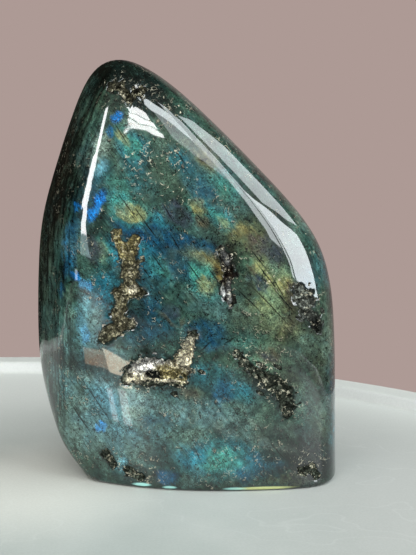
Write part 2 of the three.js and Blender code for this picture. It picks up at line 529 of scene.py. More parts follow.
@dataclass
class BrokenRock:
    """The crystals and ragged rims of the pits.

    Attributes:
        pits: The pits to break into the form.
        rim: Radii from a pit's middle line to its rim.
        rim_swings: How far the rim wanders in radii, and over how many millimetres.
        wall: Radii over which a pit's wall drops.
        spatter_size: Rough width of the spots that are broken out round a pit, in millimetres.
        spatter_start: How rare these spots are at the rim.
        spatter_fade: How much rarer they are a radius further out.
        spatter_depth: Their depth, in millimetres.
        spatter_most: How broken they are at most.
        spatter_steepness: How sharply they start.
        halo_reach: Radii from the middle line to the halo's outer edge.
        halo_fade: Radii over which it fades.
        crystal_reach: Radii from the middle line within which crystals are strewn.
        crystal_share: Crystals for each vertex there.
        crystal_tilt: Steepest slope of a crystal face.
        crystal_shelf: Depth of the highest crystal over that of the pit.
        seed: Where the stray numbers start.
    """

    pits: tuple[Pit, ...] = PITS
    rim: float = 1.1
    rim_swings: tuple[tuple[float, float], ...] = ((0.55, 2.0), (0.3, 0.8))
    wall: float = 0.34
    spatter_size: float = 0.85
    spatter_start: float = 0.36
    spatter_fade: float = 0.22
    spatter_depth: float = 0.35
    spatter_most: float = 0.55
    spatter_steepness: float = 5.0
    halo_reach: float = 2.1
    halo_fade: float = 0.8
    crystal_reach: float = 2.6
    crystal_share: float = 0.018
    crystal_tilt: float = 0.75
    crystal_shelf: float = 0.45
    seed: int = 11

    def ratio(self, points: np.ndarray) -> tuple[np.ndarray, np.ndarray]:
        """Nearest pit for each point.

        Args:
            points: One row of three for each point.

        Returns:
            The smallest distance over radius, and the depth there.
        """
        ratio, depth = np.full(len(points), FAR_OFF), np.zeros(len(points))
        for pit in self.pits:
            near, deep = pit.reach(points)
            nearer = near < ratio
            ratio, depth = np.where(nearer, near, ratio), np.where(nearer, deep, depth)
        return ratio, depth

    def carve(self, points: np.ndarray) -> tuple[np.ndarray, np.ndarray, np.ndarray]:
        """Works out how far the rock is broken away.

        Args:
            points: One row of three for each point on the polished form.

        Returns:
            Depth of break, how broken the rock is from 0 to 1, and a halo round each pit from 0 to 1.
        """
        ratio, depth = self.ratio(points)
        sunk, broken, halo = (np.zeros(len(points)) for _ in range(3))
        near = np.flatnonzero(ratio < self.crystal_reach)
        strays = random.Random(self.seed)
        seeds = strays.sample(list(near), max(1, int(len(near) * self.crystal_share)))
        tree = kdtree.KDTree(len(seeds))
        for slot, index in enumerate(seeds):
            tree.insert(Vector(points[index]), slot)
        tree.balance()
        tilts = [Vector([strays.uniform(-1, 1) * self.crystal_tilt for _ in range(3)]) for _ in seeds]
        tones = [strays.random() for _ in seeds]
        for index in near:
            here = Vector(points[index])
            ragged = ratio[index]
            for swing, size in self.rim_swings:
                ragged += swing * rough(here, size)
            edge = min(1.0, max(0.0, (self.rim - ragged) / self.wall))
            spatter = rough(here + Vector((9, 4, 2)), self.spatter_size)
            if ragged > self.rim and spatter > self.spatter_start + self.spatter_fade * (ragged - self.rim):
                edge = min(self.spatter_most, (spatter - self.spatter_start) * self.spatter_steepness)
                depth[index] = self.spatter_depth
            halo[index] = min(1.0, max(0.0, (self.halo_reach - ragged) / self.halo_fade))
            if edge <= 0:
                continue
            centre, slot, _ = tree.find(here)
            face = tilts[slot].dot(here - centre)
            shelf = self.crystal_shelf + (1 - self.crystal_shelf) * tones[slot]
            broken[index] = edge
            sunk[index] = edge * (depth[index] * shelf + min(1.0, depth[index]) * face)
        return np.maximum(sunk, 0), broken, halo


@dataclass
class StoneSkin:
    """The fine surface of the stone.

    Attributes:
        form: The ground form it follows.
        rock: The broken rock of its pits.
        columns: Vertices round the stone.
        base_rows: Rows from the middle of the base to its edge.
        edge_rows: Rows over the small round at the base's edge.
        wall_rows: Rows up the wall.
        crown_rows: Rows over the crown.
        pit_cuts: Cuts in each edge where the rock is broken.
        pit_reach: Radii from a pit's middle line within which edges are cut.
        wave: Height and length of the polish's long waves.
        ripple: Height and length of its short ones.
        calm: Height over the base up to which there are none.
        calm_fade: Height over which they start.
        facet_from: How broken the rock is where its faces turn flat.
    """

    form: GroundForm
    rock: BrokenRock
    columns: int = 216
    base_rows: int = 4
    edge_rows: int = 5
    wall_rows: int = 100
    crown_rows: int = 32
    pit_cuts: int = 4
    pit_reach: float = 2.0
    wave: tuple[float, float] = (0.05, 13.0)
    ripple: tuple[float, float] = (0.022, 4.0)
    calm: float = 1.0
    calm_fade: float = 3.0
    facet_from: float = 0.35

    def _lay_out(self, sheet: bmesh.types.BMesh) -> None:
        """Moves a unit sphere's rows and columns onto the form."""
        rows = self.base_rows + self.edge_rows + self.wall_rows + self.crown_rows
        unit = np.array([vertex.co for vertex in sheet.verts])
        row = np.round((np.arcsin(np.clip(unit[:, 2], -1, 1)) / math.pi + 0.5) * rows)
        round_the_spine = np.arctan2(unit[:, 1], unit[:, 0])
        radius = self.form.base_edge_radius
        swing = np.clip((row - self.base_rows) / self.edge_rows, 0, 1) * math.pi / 2
        climb = np.clip((row - rows + self.crown_rows) / self.crown_rows, 0, 1) * math.pi / 2
        up_the_wall = np.clip((row - self.base_rows - self.edge_rows) / self.wall_rows, 0, 1)
        height = radius * (1 - np.cos(swing)) + (self.form.cap_start - radius) * up_the_wall
        across = np.stack(
            [
                np.cos(round_the_spine),
                self.form.section_depth_share * np.sin(round_the_spine),
                np.zeros(len(unit)),
            ],
            axis=1,
        )
        across /= np.linalg.norm(across, axis=1, keepdims=True)
        way = across * np.cos(climb)[:, None]
        way[:, 2] = np.sin(climb)
        start = self.form.middle(height)
        places = self.form.leaving(start, way, radius * (1 - np.sin(swing)))
        share = np.clip(row / self.base_rows, 0, 1)[:, None]
        places = np.where(row[:, None] < self.base_rows, start + (places - start) * share, places)
        for vertex, place in zip(sheet.verts, places):
            vertex.co = place

    def _refine_pits(self, sheet: bmesh.types.BMesh) -> None:
        """Cuts the surface finely where the rock is broken."""
        points = np.array([vertex.co for vertex in sheet.verts])
        ratio, _ = self.rock.ratio(points)
        near = ratio < self.pit_reach
        edges = [edge for edge in sheet.edges if all(near[vertex.index] for vertex in edge.verts)]
        made = bmesh.ops.subdivide_edges(sheet, edges=edges, cuts=self.pit_cuts, use_grid_fill=True)
        fresh = [item for item in made["geom_inner"] if isinstance(item, bmesh.types.BMVert)]
        fresh.sort(key=lambda vertex: vertex.co.dot(ORDER))
        places = np.array([vertex.co for vertex in fresh])
        off_the_base = places[:, 2:] > self.form.base_edge_radius
        settled = np.where(off_the_base, self.form.settle(places), places)
        for vertex, place in zip(fresh, settled):
            vertex.co = place

    def mesh(self, low: np.ndarray, high: np.ndarray) -> bpy.types.Mesh:
        """Builds the surface, in metres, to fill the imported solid's box.

        Args:
            low: Lowest corner of the box, in metres.
            high: Highest corner of the box, in metres.

        Returns:
            The finished mesh, with attributes for broken rock and its halo.
        """
        sheet = bmesh.new()
        rows = self.base_rows + self.edge_rows + self.wall_rows + self.crown_rows
        bmesh.ops.create_uvsphere(sheet, u_segments=self.columns, v_segments=rows, radius=1)
        self._lay_out(sheet)
        self._refine_pits(sheet)
        # Operators number what they make differently from run to run, and the draws follow the numbers.
        sheet.verts.sort(key=lambda vertex: vertex.co.dot(ORDER))
        sheet.faces.sort(key=lambda face: face.calc_center_median().dot(ORDER))
        bmesh.ops.recalc_face_normals(sheet, faces=sheet.faces)
        mesh = bpy.data.meshes.new("labradorite_skin")
        sheet.to_mesh(mesh)
        sheet.free()

        flat = np.empty(len(mesh.vertices) * 3)
        mesh.vertices.foreach_get("co", flat)
        points = flat.reshape(-1, 3)
        smooth_low, smooth_high = points.min(axis=0), points.max(axis=0)
        normals = self.form.normals(points)
        sunk, broken, halo = self.rock.carve(points)
        off_the_base = np.clip((points[:, 2] - self.calm) / self.calm_fade, 0, 1)
        (wave, wave_length), (ripple, ripple_length) = self.wave, self.ripple
        places = [Vector(point) for point in points]
        waves = [wave * rough(at, wave_length) + ripple * rough(at, ripple_length) for at in places]
        points = points + normals * ((np.array(waves) - wave) * off_the_base - sunk)[:, None]
        points = low + (points - smooth_low) * (high - low) / (smooth_high - smooth_low)
        mesh.vertices.foreach_set("co", points.ravel())
        for name, values in (("broken", broken), ("halo", halo)):
            mesh.attributes.new(name, "FLOAT", "POINT").data.foreach_set("value", values)
        corners = np.zeros(len(mesh.loops), dtype=np.int32)
        mesh.loops.foreach_get("vertex_index", corners)
        starts = np.zeros(len(mesh.polygons), dtype=np.int32)
        mesh.polygons.foreach_get("loop_start", starts)
        worst = np.maximum.reduceat(broken[corners], starts)
        mesh.polygons.foreach_set("use_smooth", worst < self.facet_from)
        mesh.update()
        return mesh


# Node building


class Graph:
    """Adds nodes to one node tree and links them."""

    def __init__(self, tree: bpy.types.NodeTree) -> None:
        """Keeps the tree that the nodes go into."""
        self.tree = tree

    def add(self, kind: str, feeds: dict | None = None, **settings: object) -> bpy.types.Node:
        """Adds a node.

        Args:
            kind: Blender's name for the kind of node.
            feeds: For each input, by name or place, a value or the socket that feeds it.
            **settings: Properties of the node itself.

        Returns:
            The new node.
        """
        node = self.tree.nodes.new(kind)
        for name, value in settings.items():
            setattr(node, name, value)
        for key, value in (feeds or {}).items():
            if isinstance(value, bpy.types.NodeSocket):
                self.tree.links.new(value, node.inputs[key])
            else:
                node.inputs[key].default_value = value
        return node

    def math(self, operation: str, *values: Socket | float, clamp: bool = False) -> Socket:
        """One sum on numbers; returns its result."""
        feeds = dict(enumerate(values))
        return self.add("ShaderNodeMath", feeds, operation=operation, use_clamp=clamp).outputs[0]

    def times(self, first: Socket | float, second: Socket | float) -> Socket:
        """Two numbers multiplied."""
        return self.math("MULTIPLY", first, second)

    def apart(self, value: Socket, middle: float) -> Socket:
        """How far a number is from a middle one."""
        return self.math("ABSOLUTE", self.math("SUBTRACT", value, middle))

    def vector(self, operation: str, *values: Socket | tuple[float, ...]) -> Socket:
        """One sum on vectors; returns the vector that comes out."""
        return self.add("ShaderNodeVectorMath", dict(enumerate(values)), operation=operation).outputs[0]

    def scaled(self, vector: Socket | tuple[float, ...], factor: Socket | float) -> Socket:
        """A vector or colour times a number."""
        return self.add("ShaderNodeVectorMath", {0: vector, "Scale": factor}, operation="SCALE").outputs[0]

    def dot(self, first: Socket, second: Socket | tuple[float, ...]) -> Socket:
        """The dot product of two vectors."""
        node = self.add("ShaderNodeVectorMath", {0: first, 1: second}, operation="DOT_PRODUCT")
        return node.outputs["Value"]

    def place(self) -> Socket:
        """Position on the piece, in millimetres."""
        return self.scaled(self.add("ShaderNodeTexCoord").outputs["Object"], 1 / MM)

    def use(self, group: bpy.types.NodeTree, feeds: dict) -> Socket:
        """Adds a node group with those feeds; returns what it puts out."""
        return self.add("ShaderNodeGroup", feeds, node_tree=group).outputs[0]

    def blend(self, factor: Socket, under: Socket | Colour, over: Socket | Colour) -> Socket:
        """Lays one colour over another.

        Args:
            factor: How much of the upper colour shows.
            under: The lower colour.
            over: The upper colour.

        Returns:
            The colour that comes out.
        """
        feeds = {0: factor, 6: under, 7: over}
        return self.add("ShaderNodeMix", feeds, data_type="RGBA").outputs[2]

    def span(
        self, value: Socket, low: Socket | float, high: Socket | float, start: float = 0, end: float = 1
    ) -> Socket:
        """Turns a range of numbers smoothly into another.

        Args:
            value: The number that comes in.
            low: Where the change starts.
            high: Where it ends.
            start: What comes out at low.
            end: What comes out at high.

        Returns:
            The number that comes out.
        """
        feeds = {"Value": value, "From Min": low, "From Max": high, "To Min": start, "To Max": end}
        node = self.add("ShaderNodeMapRange", feeds, interpolation_type="SMOOTHSTEP", clamp=False)
        return node.outputs[0]

    def noise(
        self, vector: Socket, size: float, detail: float = 2.0, roughness: float = 0.5, output: int = 0
    ) -> Socket:
        """Smooth noise.

        Args:
            vector: The position it is read at.
            size: How many of the position's units its bumps are across.
            detail: How many finer layers are added.
            roughness: How strongly they show.
            output: 0 for a number and 1 for a colour.

        Returns:
            The number or colour, around the middle of 0 to 1.
        """
        feeds = {"Vector": vector, "Scale": 1 / size, "Detail": detail, "Roughness": roughness}
        return self.add("ShaderNodeTexNoise", feeds).outputs[output]

    def sway(self, vector: Socket, size: float, detail: float) -> Socket:
        """Noise as a vector that points any way."""
        return self.vector("SUBTRACT", self.noise(vector, size, detail, output=1), (0.5, 0.5, 0.5))


def new_group(
    name: str, sockets: Sequence[tuple[str, str, str]]
) -> tuple[Graph, bpy.types.Node, bpy.types.Node]:
    """Starts a shader node group.

    Args:
        name: The group's name.
        sockets: For each socket, its name, "INPUT" or "OUTPUT", and Blender's name for its type.

    Returns:
        A graph to build in, the group's input node and its output node.
    """
    tree = bpy.data.node_groups.new(name, "ShaderNodeTree")
    for label, way, kind in sockets:
        tree.interface.new_socket(name=label, in_out=way, socket_type=kind)
    return Graph(tree), tree.nodes.new("NodeGroupInput"), tree.nodes.new("NodeGroupOutput")


def new_material(name: str) -> tuple[bpy.types.Material, Graph, bpy.types.Node]:
    """Starts a material.

    Args:
        name: The material's name.

    Returns:
        The material, a graph to build in and its shader.
    """
    material = bpy.data.materials.new(name)
    material.use_nodes = True
    return material, Graph(material.node_tree), material.node_tree.nodes["Principled BSDF"]


OVAL_SOCKETS = (
    ("Vector", "INPUT", "NodeSocketVector"),
    ("Place", "INPUT", "NodeSocketVector"),
    ("Along", "INPUT", "NodeSocketVector"),
    ("Across", "INPUT", "NodeSocketVector"),
)


def oval_feeds(place: tuple[float, float, float], length: float, width: float, turn: float) -> dict:
    """What tells an oval group where its oval lies.

    Args:
        place: The middle of the oval, in millimetres.
        length: Half its length.
        width: Half its width.
        turn: Degrees from level to its length, upwards to the right.

    Returns:
        A value for each of the sockets Place, Along and Across.
    """
    angle = math.radians(turn)
    along = (math.cos(angle) / length, 0, math.sin(angle) / length)
    across = (-math.sin(angle) / width, 0, math.cos(angle) / width)
    return {"Place": place, "Along": along, "Across": across}


class StoneEffects:
    """Node groups that the finishes share."""

    def __init__(self) -> None:
        """Builds each group once."""
        self.patch = self._patch()
        self.hairline = self._hairline()
        self.grain = self._grain()
        self.flecks = self._flecks()

    @staticmethod
    def _oval(graph: Graph, given: bpy.types.Node) -> Socket:
        """Distance from an oval's middle, which is 1 on its edge.

        Args:
            graph: Where the nodes go.
            given: The group's input node, with the sockets Vector, Place, Along and Across.

        Returns:
            The distance.
        """
        local = graph.vector("SUBTRACT", given.outputs["Vector"], given.outputs["Place"])
        squares = []
        for axis in (given.outputs["Along"], given.outputs["Across"], (0, 1 / PATCH_DEPTH, 0)):
            share = graph.dot(local, axis)
            squares.append(graph.times(share, share))
        return graph.math("SQRT", graph.math("ADD", graph.math("ADD", squares[0], squares[1]), squares[2]))

    def _patch(self) -> bpy.types.NodeTree:
        """An oval patch of colour laid over a ground."""
        colours, numbers = ("Ground", "Tint"), ("Strength", "Softness", "Streaks")
        graph, given, out = new_group(
            "colour_patch",
            [
                *OVAL_SOCKETS,
                *((name, "INPUT", "NodeSocketColor") for name in colours),
                *((name, "INPUT", "NodeSocketFloat") for name in numbers),
                ("Colour", "OUTPUT", "NodeSocketColor"),
            ],
        )
        reach = self._oval(graph, given)
        outer = graph.math("ADD", 1.0, given.outputs["Softness"])
        inner = graph.math("SUBTRACT", 1.0, given.outputs["Softness"])
        strong = graph.times(graph.span(reach, outer, inner), given.outputs["Strength"])
        streaked = graph.times(strong, given.outputs["Streaks"])
        colour = graph.blend(streaked, given.outputs["Ground"], given.outputs["Tint"])
        graph.tree.links.new(colour, out.inputs["Colour"])
        return graph.tree

    def _hairline(self) -> bpy.types.NodeTree:
        """Adds a short crack with pointed ends to a mask of cracks."""
        graph, given, out = new_group(
            "hairline",
            [*OVAL_SOCKETS, ("Others", "INPUT", "NodeSocketFloat"), ("Mask", "OUTPUT", "NodeSocketFloat")],
        )
        mask = graph.span(self._oval(graph, given), 1.3, 0.4)
        graph.tree.links.new(graph.math("MAXIMUM", given.outputs["Others"], mask), out.inputs["Mask"])
        return graph.tree

    def _grain(self) -> bpy.types.NodeTree:
        """Fine light and dark grains that lift or lower a colour."""
        graph, given, out = new_group(
            "fine_grain",
            [
                ("Vector", "INPUT", "NodeSocketVector"),
                ("Ground", "INPUT", "NodeSocketColor"),
                ("Grain size", "INPUT", "NodeSocketFloat"),
                ("Contrast", "INPUT", "NodeSocketFloat"),
                ("Colour", "OUTPUT", "NodeSocketColor"),
            ],
        )
        scale = graph.math("DIVIDE", 1.0, given.outputs["Grain size"])
        feeds = {"Vector": given.outputs["Vector"], "Scale": scale, "Detail": 3.0, "Roughness": 0.7}
        grains = graph.add("ShaderNodeTexNoise", feeds).outputs[0]
        swing = graph.times(graph.math("SUBTRACT", grains, 0.5), given.outputs["Contrast"])
        lifted = graph.scaled(given.outputs["Ground"], graph.math("ADD", swing, 1.0))
        graph.tree.links.new(lifted, out.inputs["Colour"])
        return graph.tree

    def _flecks(self) -> bpy.types.NodeTree:
        """A mask of small scattered flecks, thicker in some places than others."""
        numbers = ("Spacing", "Fleck size", "Crowding")
        graph, given, out = new_group(
            "flecks",
            [
                ("Vector", "INPUT", "NodeSocketVector"),
                *((name, "INPUT", "NodeSocketFloat") for name in numbers),
                ("Mask", "OUTPUT", "NodeSocketFloat"),
            ],
        )
        vector = given.outputs["Vector"]
        nudged = graph.vector("ADD", vector, graph.sway(vector, 0.5, 2.0))
        scale = graph.math("DIVIDE", 1.0, given.outputs["Spacing"])
        cells = graph.add("ShaderNodeTexVoronoi", {"Vector": nudged, "Scale": scale, "Randomness": 1.0})
        distance = graph.times(cells.outputs["Distance"], given.outputs["Spacing"])
        chance = graph.add("ShaderNodeSeparateColor", {0: cells.outputs["Color"]}).outputs[0]
        size = graph.times(given.outputs["Fleck size"], graph.span(chance, 0.0, 1.0, 0.4, 1.5))
        inside = graph.math("LESS_THAN", distance, size)
        chosen = graph.math("LESS_THAN", chance, given.outputs["Crowding"])
        graph.tree.links.new(graph.times(inside, chosen), out.inputs["Mask"])
        return graph.tree


# The colours of the stone


@dataclass(frozen=True)
class Patch:
    """An oval of colour in the stone.

    Attributes:
        place: Its middle, in millimetres in the part's frame.
        size: Its half length and half width.
        turn: Degrees from level to its length, upwards to the right.
        tone: Its colour.
        strength: How much it covers.
        softness: How far its edge fades, as a share of its size.
    """

    place: tuple[float, float, float]
    size: tuple[float, float]
    turn: float
    tone: Tone
    strength: float
    softness: float = 0.5


PATCHES = (
    Patch((-19.2, -9.6, 114.6), (14.6, 8.6), 0, Tone.BLACK_GREEN, 0.95),
    Patch((-38.5, -4.9, 86.4), (30.5, 4.7), 80, Tone.UMBER, 0.8),
    Patch((-36.3, -9.8, 25.8), (17.9, 7.5), -62, Tone.ASH, 0.75),
    Patch((-13.0, -17.6, 20.0), (20.0, 11.0), 0, Tone.SLATE, 0.6, 0.6),
    Patch((24.0, -16.8, 13.0), (17.0, 8.0), 0, Tone.BLACK_GREEN, 0.6, 0.6),
    Patch((-8.6, -11.5, 107.6), (9.0, 3.6), -38, Tone.BLACK_GREEN, 0.85),
    Patch((-35.0, -8.0, 93.0), (25.0, 5.6), 76, Tone.BLACK_GREEN, 0.85),
    Patch((33.0, -15.0, 8.0), (13.0, 8.0), 0, Tone.BLACK_GREEN, 0.85, 0.6),
    Patch((2.0, -17.5, 1.0), (42.0, 4.0), 0, Tone.BLACK_GREEN, 0.6, 0.6),
    Patch((41.0, -10.0, 40.0), (34.0, 4.4), 88, Tone.BLACK_GREEN, 0.5, 0.6),
    Patch((-42.0, -5.0, 32.0), (14.0, 4.6), -72, Tone.BLACK_GREEN, 0.7, 0.6),
    # The next patch is painted reflection: the pale floor's veil mirrored on the lower left.
    Patch((-27.0, -14.0, 25.0), (19.0, 9.0), -58, Tone.REFLECTION_SLATE, 0.75, 0.6),
    Patch((-40.0, -4.0, 56.0), (18.0, 3.4), 86, Tone.ASH, 0.5, 0.6),
    Patch((-34.0, -8.0, 89.0), (15.0, 4.4), 76, Tone.GRAPHITE, 0.75),
    Patch((-19.0, -9.0, 118.0), (10.0, 6.0), 0, Tone.GRAPHITE, 0.85),
    Patch((-27.0, -13.0, 94.0), (6.0, 3.0), 75, Tone.SLATE, 0.7, 0.6),
    Patch((19.0, -15.0, 81.0), (13.0, 5.0), -50, Tone.BLACK_GREEN, 0.5, 0.6),
    Patch((10.0, -16.0, 72.4), (7.0, 4.0), -50, Tone.BLACK_GREEN, 0.75),
    Patch((19.0, -16.0, 74.0), (16.0, 7.0), -48, Tone.MOSS, 0.6, 0.6),
    Patch((24.0, -16.0, 62.0), (14.0, 9.0), -50, Tone.OLIVE_GREY, 0.75, 0.6),
    Patch((28.0, -15.5, 40.0), (14.0, 13.0), 0, Tone.OLIVE_GREY, 0.7, 0.6),
    Patch((24.2, -16.1, 45.7), (13.4, 7.3), 0, Tone.ASH, 0.55, 0.6),
    Patch((38.8, -13.7, 30.4), (27.0, 3.7), 90, Tone.OLIVE_GREY, 0.6),
    Patch((-1.3, -14.2, 90.6), (13.2, 9.9), 0, Tone.MOSS, 0.55, 0.6),
    Patch((15.2, -14.6, 79.1), (9.4, 6.6), -30, Tone.OLIVE_GREY, 0.7, 0.6),
    Patch((-24.7, -12.1, 101.4), (11.0, 7.1), 70, Tone.MOSS, 0.5, 0.6),
    Patch((-16.8, -17.1, 37.9), (11.2, 4.5), 0, Tone.SLATE, 0.5, 0.6),
    Patch((-9.1, -16.1, 72.1), (12.1, 4.7), -25, Tone.DEEP_BLUE, 0.9, 0.35),
    Patch((4.7, -16.0, 68.8), (7.4, 3.0), -20, Tone.DEEP_BLUE, 0.8, 0.4),
    Patch((-21.4, -16.5, 56.0), (8.3, 4.7), -80, Tone.STEEL_BLUE, 0.8, 0.4),
    Patch((-9.2, -17.4, 49.9), (7.2, 5.5), -35, Tone.DUSK_BLUE, 0.85, 0.35),
    Patch((5.8, -17.4, 45.4), (6.1, 3.9), -15, Tone.DEEP_BLUE, 0.8, 0.4),
    Patch((-31.9, -14.3, 69.1), (7.8, 2.2), 82, Tone.BLUE, 0.75, 0.4),
    Patch((-25.4, -16.0, 51.4), (9.5, 3.6), 85, Tone.STEEL_BLUE, 0.7),
    Patch((-10.8, -16.7, 62.7), (7.2, 4.1), -50, Tone.DUSK_BLUE, 0.7, 0.4),
    Patch((8.3, -16.8, 54.9), (8.3, 5.5), -10, Tone.SLATE, 0.5),
    Patch((-8.5, -17.9, 22.3), (4.5, 3.9), -40, Tone.DUSK_BLUE, 0.55),
    Patch((10.3, -18.0, 29.0), (3.4, 3.1), 80, Tone.BLUE, 0.7, 0.4),
    Patch((4.1, -18.0, 33.9), (7.3, 3.3), 0, Tone.STEEL_BLUE, 0.5),
    Patch((18.2, -18.4, 7.5), (4.8, 3.7), 80, Tone.BLUE, 0.75, 0.4),
    Patch((23.9, -18.0, 6.1), (5.1, 3.4), 0, Tone.DUSK_BLUE, 0.7, 0.4),
    Patch((-5.6, -17.9, 3.7), (3.1, 2.0), 0, Tone.BLUE, 0.6, 0.4),
    Patch((-21.4, -15.7, 24.5), (9.6, 3.4), -55, Tone.PALE_BLUE, 0.45),
    Patch((-27.2, -14.6, 82.4), (8.2, 3.3), 75, Tone.DEEP_BLUE, 0.6),
    Patch((-12.3, -14.6, 87.9), (5.5, 2.7), -40, Tone.STEEL_BLUE, 0.5),
    Patch((-1.9, -13.9, 93.9), (3.8, 2.2), -50, Tone.STEEL_BLUE, 0.6),
    Patch((2.2, -14.2, 90.1), (6.0, 3.3), -55, Tone.STEEL_BLUE, 0.5),
    Patch((-14.2, -13.5, 96.6), (3.6, 2.7), -60, Tone.TEAL_GREEN, 0.95, 0.3),
    Patch((-6.8, -15.7, 76.5), (2.2, 1.4), -55, Tone.TEAL, 0.9, 0.4),
    Patch((-9.6, -16.4, 67.7), (3.6, 2.2), -45, Tone.TEAL, 0.9, 0.35),
    Patch((-7.4, -16.6, 64.4), (3.9, 2.2), -52, Tone.TEAL_GREEN, 0.75, 0.4),
    Patch((-20.1, -16.1, 67.7), (3.0, 2.2), -60, Tone.TEAL, 0.85, 0.35),
    Patch((5.0, -16.5, 62.4), (4.1, 3.3), -52, Tone.TEAL_GREEN, 0.95, 0.3),
    Patch((9.1, -15.1, 78.3), (4.1, 1.4), -38, Tone.TEAL_GREEN, 0.85, 0.4),
    Patch((21.3, -15.0, 68.6), (3.9, 1.7), -50, Tone.MOSS, 0.5),
    Patch((15.2, -16.4, 54.8), (7.2, 4.4), -50, Tone.ASH, 0.6),
    Patch((15.9, -17.7, 28.9), (3.9, 2.8), -20, Tone.TEAL, 0.5),
    Patch((9.2, -18.7, 9.7), (7.3, 3.7), 0, Tone.TEAL_GREEN, 0.85, 0.35),
    Patch((3.3, -18.7, 10.5), (2.8, 2.5), 0, Tone.TEAL, 0.8, 0.4),
    Patch((11.3, -14.1, 86.2), (4.9, 2.7), -50, Tone.TEAL_GREEN, 0.5),
    Patch((23.1, -16.5, 40.1), (5.6, 3.1), -20, Tone.SAGE, 0.7, 0.4),
    Patch((-17.8, -14.8, 85.2), (4.4, 2.7), -50, Tone.TEAL_GREEN, 0.35),
    Patch((-14.8, -15.4, 79.2), (4.1, 2.7), -22, Tone.OLIVE_GOLD, 0.95, 0.22),
    Patch((-18.4, -15.1, 81.7), (2.2, 1.6), -40, Tone.TEAL_GREEN, 0.7, 0.4),
    Patch((-16.9, -13.1, 99.6), (2.2, 1.4), -55, Tone.OLIVE_GOLD, 0.7, 0.4),
    Patch((3.6, -15.1, 80.3), (2.5, 1.9), -50, Tone.OLIVE_GOLD, 0.85, 0.35),
    Patch((10.8, -15.2, 76.4), (2.2, 1.1), -50, Tone.OLIVE_GOLD, 0.6, 0.4),
    Patch((-22.6, -15.9, 68.2), (2.8, 1.1), -70, Tone.SAGE, 0.8, 0.4),
    Patch((6.4, -16.6, 58.8), (2.5, 2.5), -52, Tone.OLIVE_GOLD, 0.8, 0.35),
    Patch((5.5, -16.1, 66.8), (3.6, 1.4), -12, Tone.BRONZE, 0.75, 0.45),
    Patch((0.8, -16.2, 68.0), (2.8, 1.9), -30, Tone.OLIVE_GREY, 0.8, 0.4),
    Patch((25.0, -15.3, 59.0), (8.6, 5.0), -55, Tone.OLIVE_GOLD, 0.8, 0.22),
    Patch((26.6, -14.7, 63.6), (3.3, 1.7), -35, Tone.SAGE, 0.8, 0.4),
    Patch((22.2, -15.8, 54.7), (4.4, 1.9), -52, Tone.SAGE, 0.6, 0.4),
    Patch((15.5, -15.1, 73.6), (2.5, 1.4), 20, Tone.BRONZE, 0.6, 0.4),
    Patch((23.0, -13.4, 78.5), (2.2, 1.7), -50, Tone.OLIVE_GREY, 0.6, 0.4),
    Patch((6.1, -13.4, 93.3), (2.7, 1.4), -55, Tone.BRONZE, 0.5, 0.4),
    Patch((31.1, -17.1, 2.6), (7.4, 1.2), 0, Tone.OLIVE_GOLD, 0.5, 0.4),
    Patch((-1.9, -15.4, 78.7), (4.7, 2.7), -42, Tone.MAUVE_SLATE, 0.9, 0.25),
    Patch((5.0, -15.4, 76.5), (2.2, 1.7), -30, Tone.BROWN, 0.9, 0.35),
    Patch((-24.8, -15.7, 68.7), (3.3, 2.5), -60, Tone.MAUVE_SLATE, 0.8, 0.35),
    Patch((-3.3, -17.3, 51.9), (2.8, 1.9), -45, Tone.MAUVE_SLATE, 0.8, 0.3),
    Patch((-4.7, -17.5, 49.4), (3.3, 0.7), -52, Tone.BROWN, 0.9),
    Patch((-1.1, -17.5, 48.0), (1.9, 0.7), 58, Tone.BROWN, 0.7),
    Patch((19.9, -15.0, 70.3), (3.6, 2.8), -40, Tone.MAUVE, 0.85, 0.35),
    Patch((18.3, -15.7, 60.9), (3.9, 2.2), -70, Tone.BROWN, 0.9, 0.3),
    Patch((18.0, -15.8, 60.1), (2.5, 1.4), -70, Tone.MAUVE_SLATE, 0.9, 0.35),
    Patch((29.8, -14.8, 55.4), (3.6, 1.7), -70, Tone.MAUVE, 0.85, 0.35),
    Patch((28.7, -15.4, 48.4), (2.8, 2.5), -45, Tone.MAUVE, 0.8, 0.35),
    Patch((31.5, -14.5, 55.6), (3.4, 1.4), -65, Tone.BLACK_BROWN, 0.9, 0.35),
    Patch((22.9, -16.5, 39.5), (3.9, 1.7), -22, Tone.BROWN, 0.9, 0.35),
    Patch((23.1, -16.5, 39.2), (2.8, 1.0), -20, Tone.MAUVE_SLATE, 0.95, 0.4),
    Patch((11.6, -16.0, 63.4), (7.6, 3.9), -84, Tone.BLACK_BROWN, 0.97, 0.4),
    Patch((9.7, -16.2, 62.7), (2.2, 1.1), -70, Tone.UMBER_GOLD, 0.8, 0.4),
    Patch((21.5, -17.1, 31.6), (8.4, 2.5), -45, Tone.BLACK_GREEN, 0.75, 0.45),
    Patch((27.5, -16.6, 26.8), (3.9, 2.5), -75, Tone.BLACK_GREEN, 0.6, 0.45),
    Patch((35.6, -14.1, 46.4), (3.9, 3.1), -50, Tone.BLACK_GREEN, 0.7, 0.45),
    Patch((-22.9, -14.0, 9.2), (2.3, 1.7), -60, Tone.BLACK_GREEN, 0.95, 0.4),
    Patch((-13.9, -16.2, 4.9), (4.0, 2.6), -30, Tone.BLACK_GREEN, 0.75),
    Patch((35.2, -16.2, 4.9), (5.1, 2.9), -20, Tone.BLACK_GREEN, 0.9, 0.45),
    Patch((31.6, -16.7, 11.0), (4.5, 2.0), -35, Tone.BLACK_GREEN, 0.6),
    Patch((1.9, -18.3, 28.5), (2.5, 1.4), -35, Tone.MAUVE, 0.45),
    Patch((-12.8, -11.2, 110.7), (5.5, 3.3), -25, Tone.BLACK_GREEN, 0.7),
    Patch((16.9, -11.2, 89.9), (6.1, 1.7), -50, Tone.MOSS, 0.4),
    Patch((5.5, -13.0, 95.5), (3.6, 2.5), -45, Tone.MAUVE, 0.5),
    Patch((-27.5, -14.8, 34.5), (9.6, 2.3), -12, Tone.UMBER, 0.55),
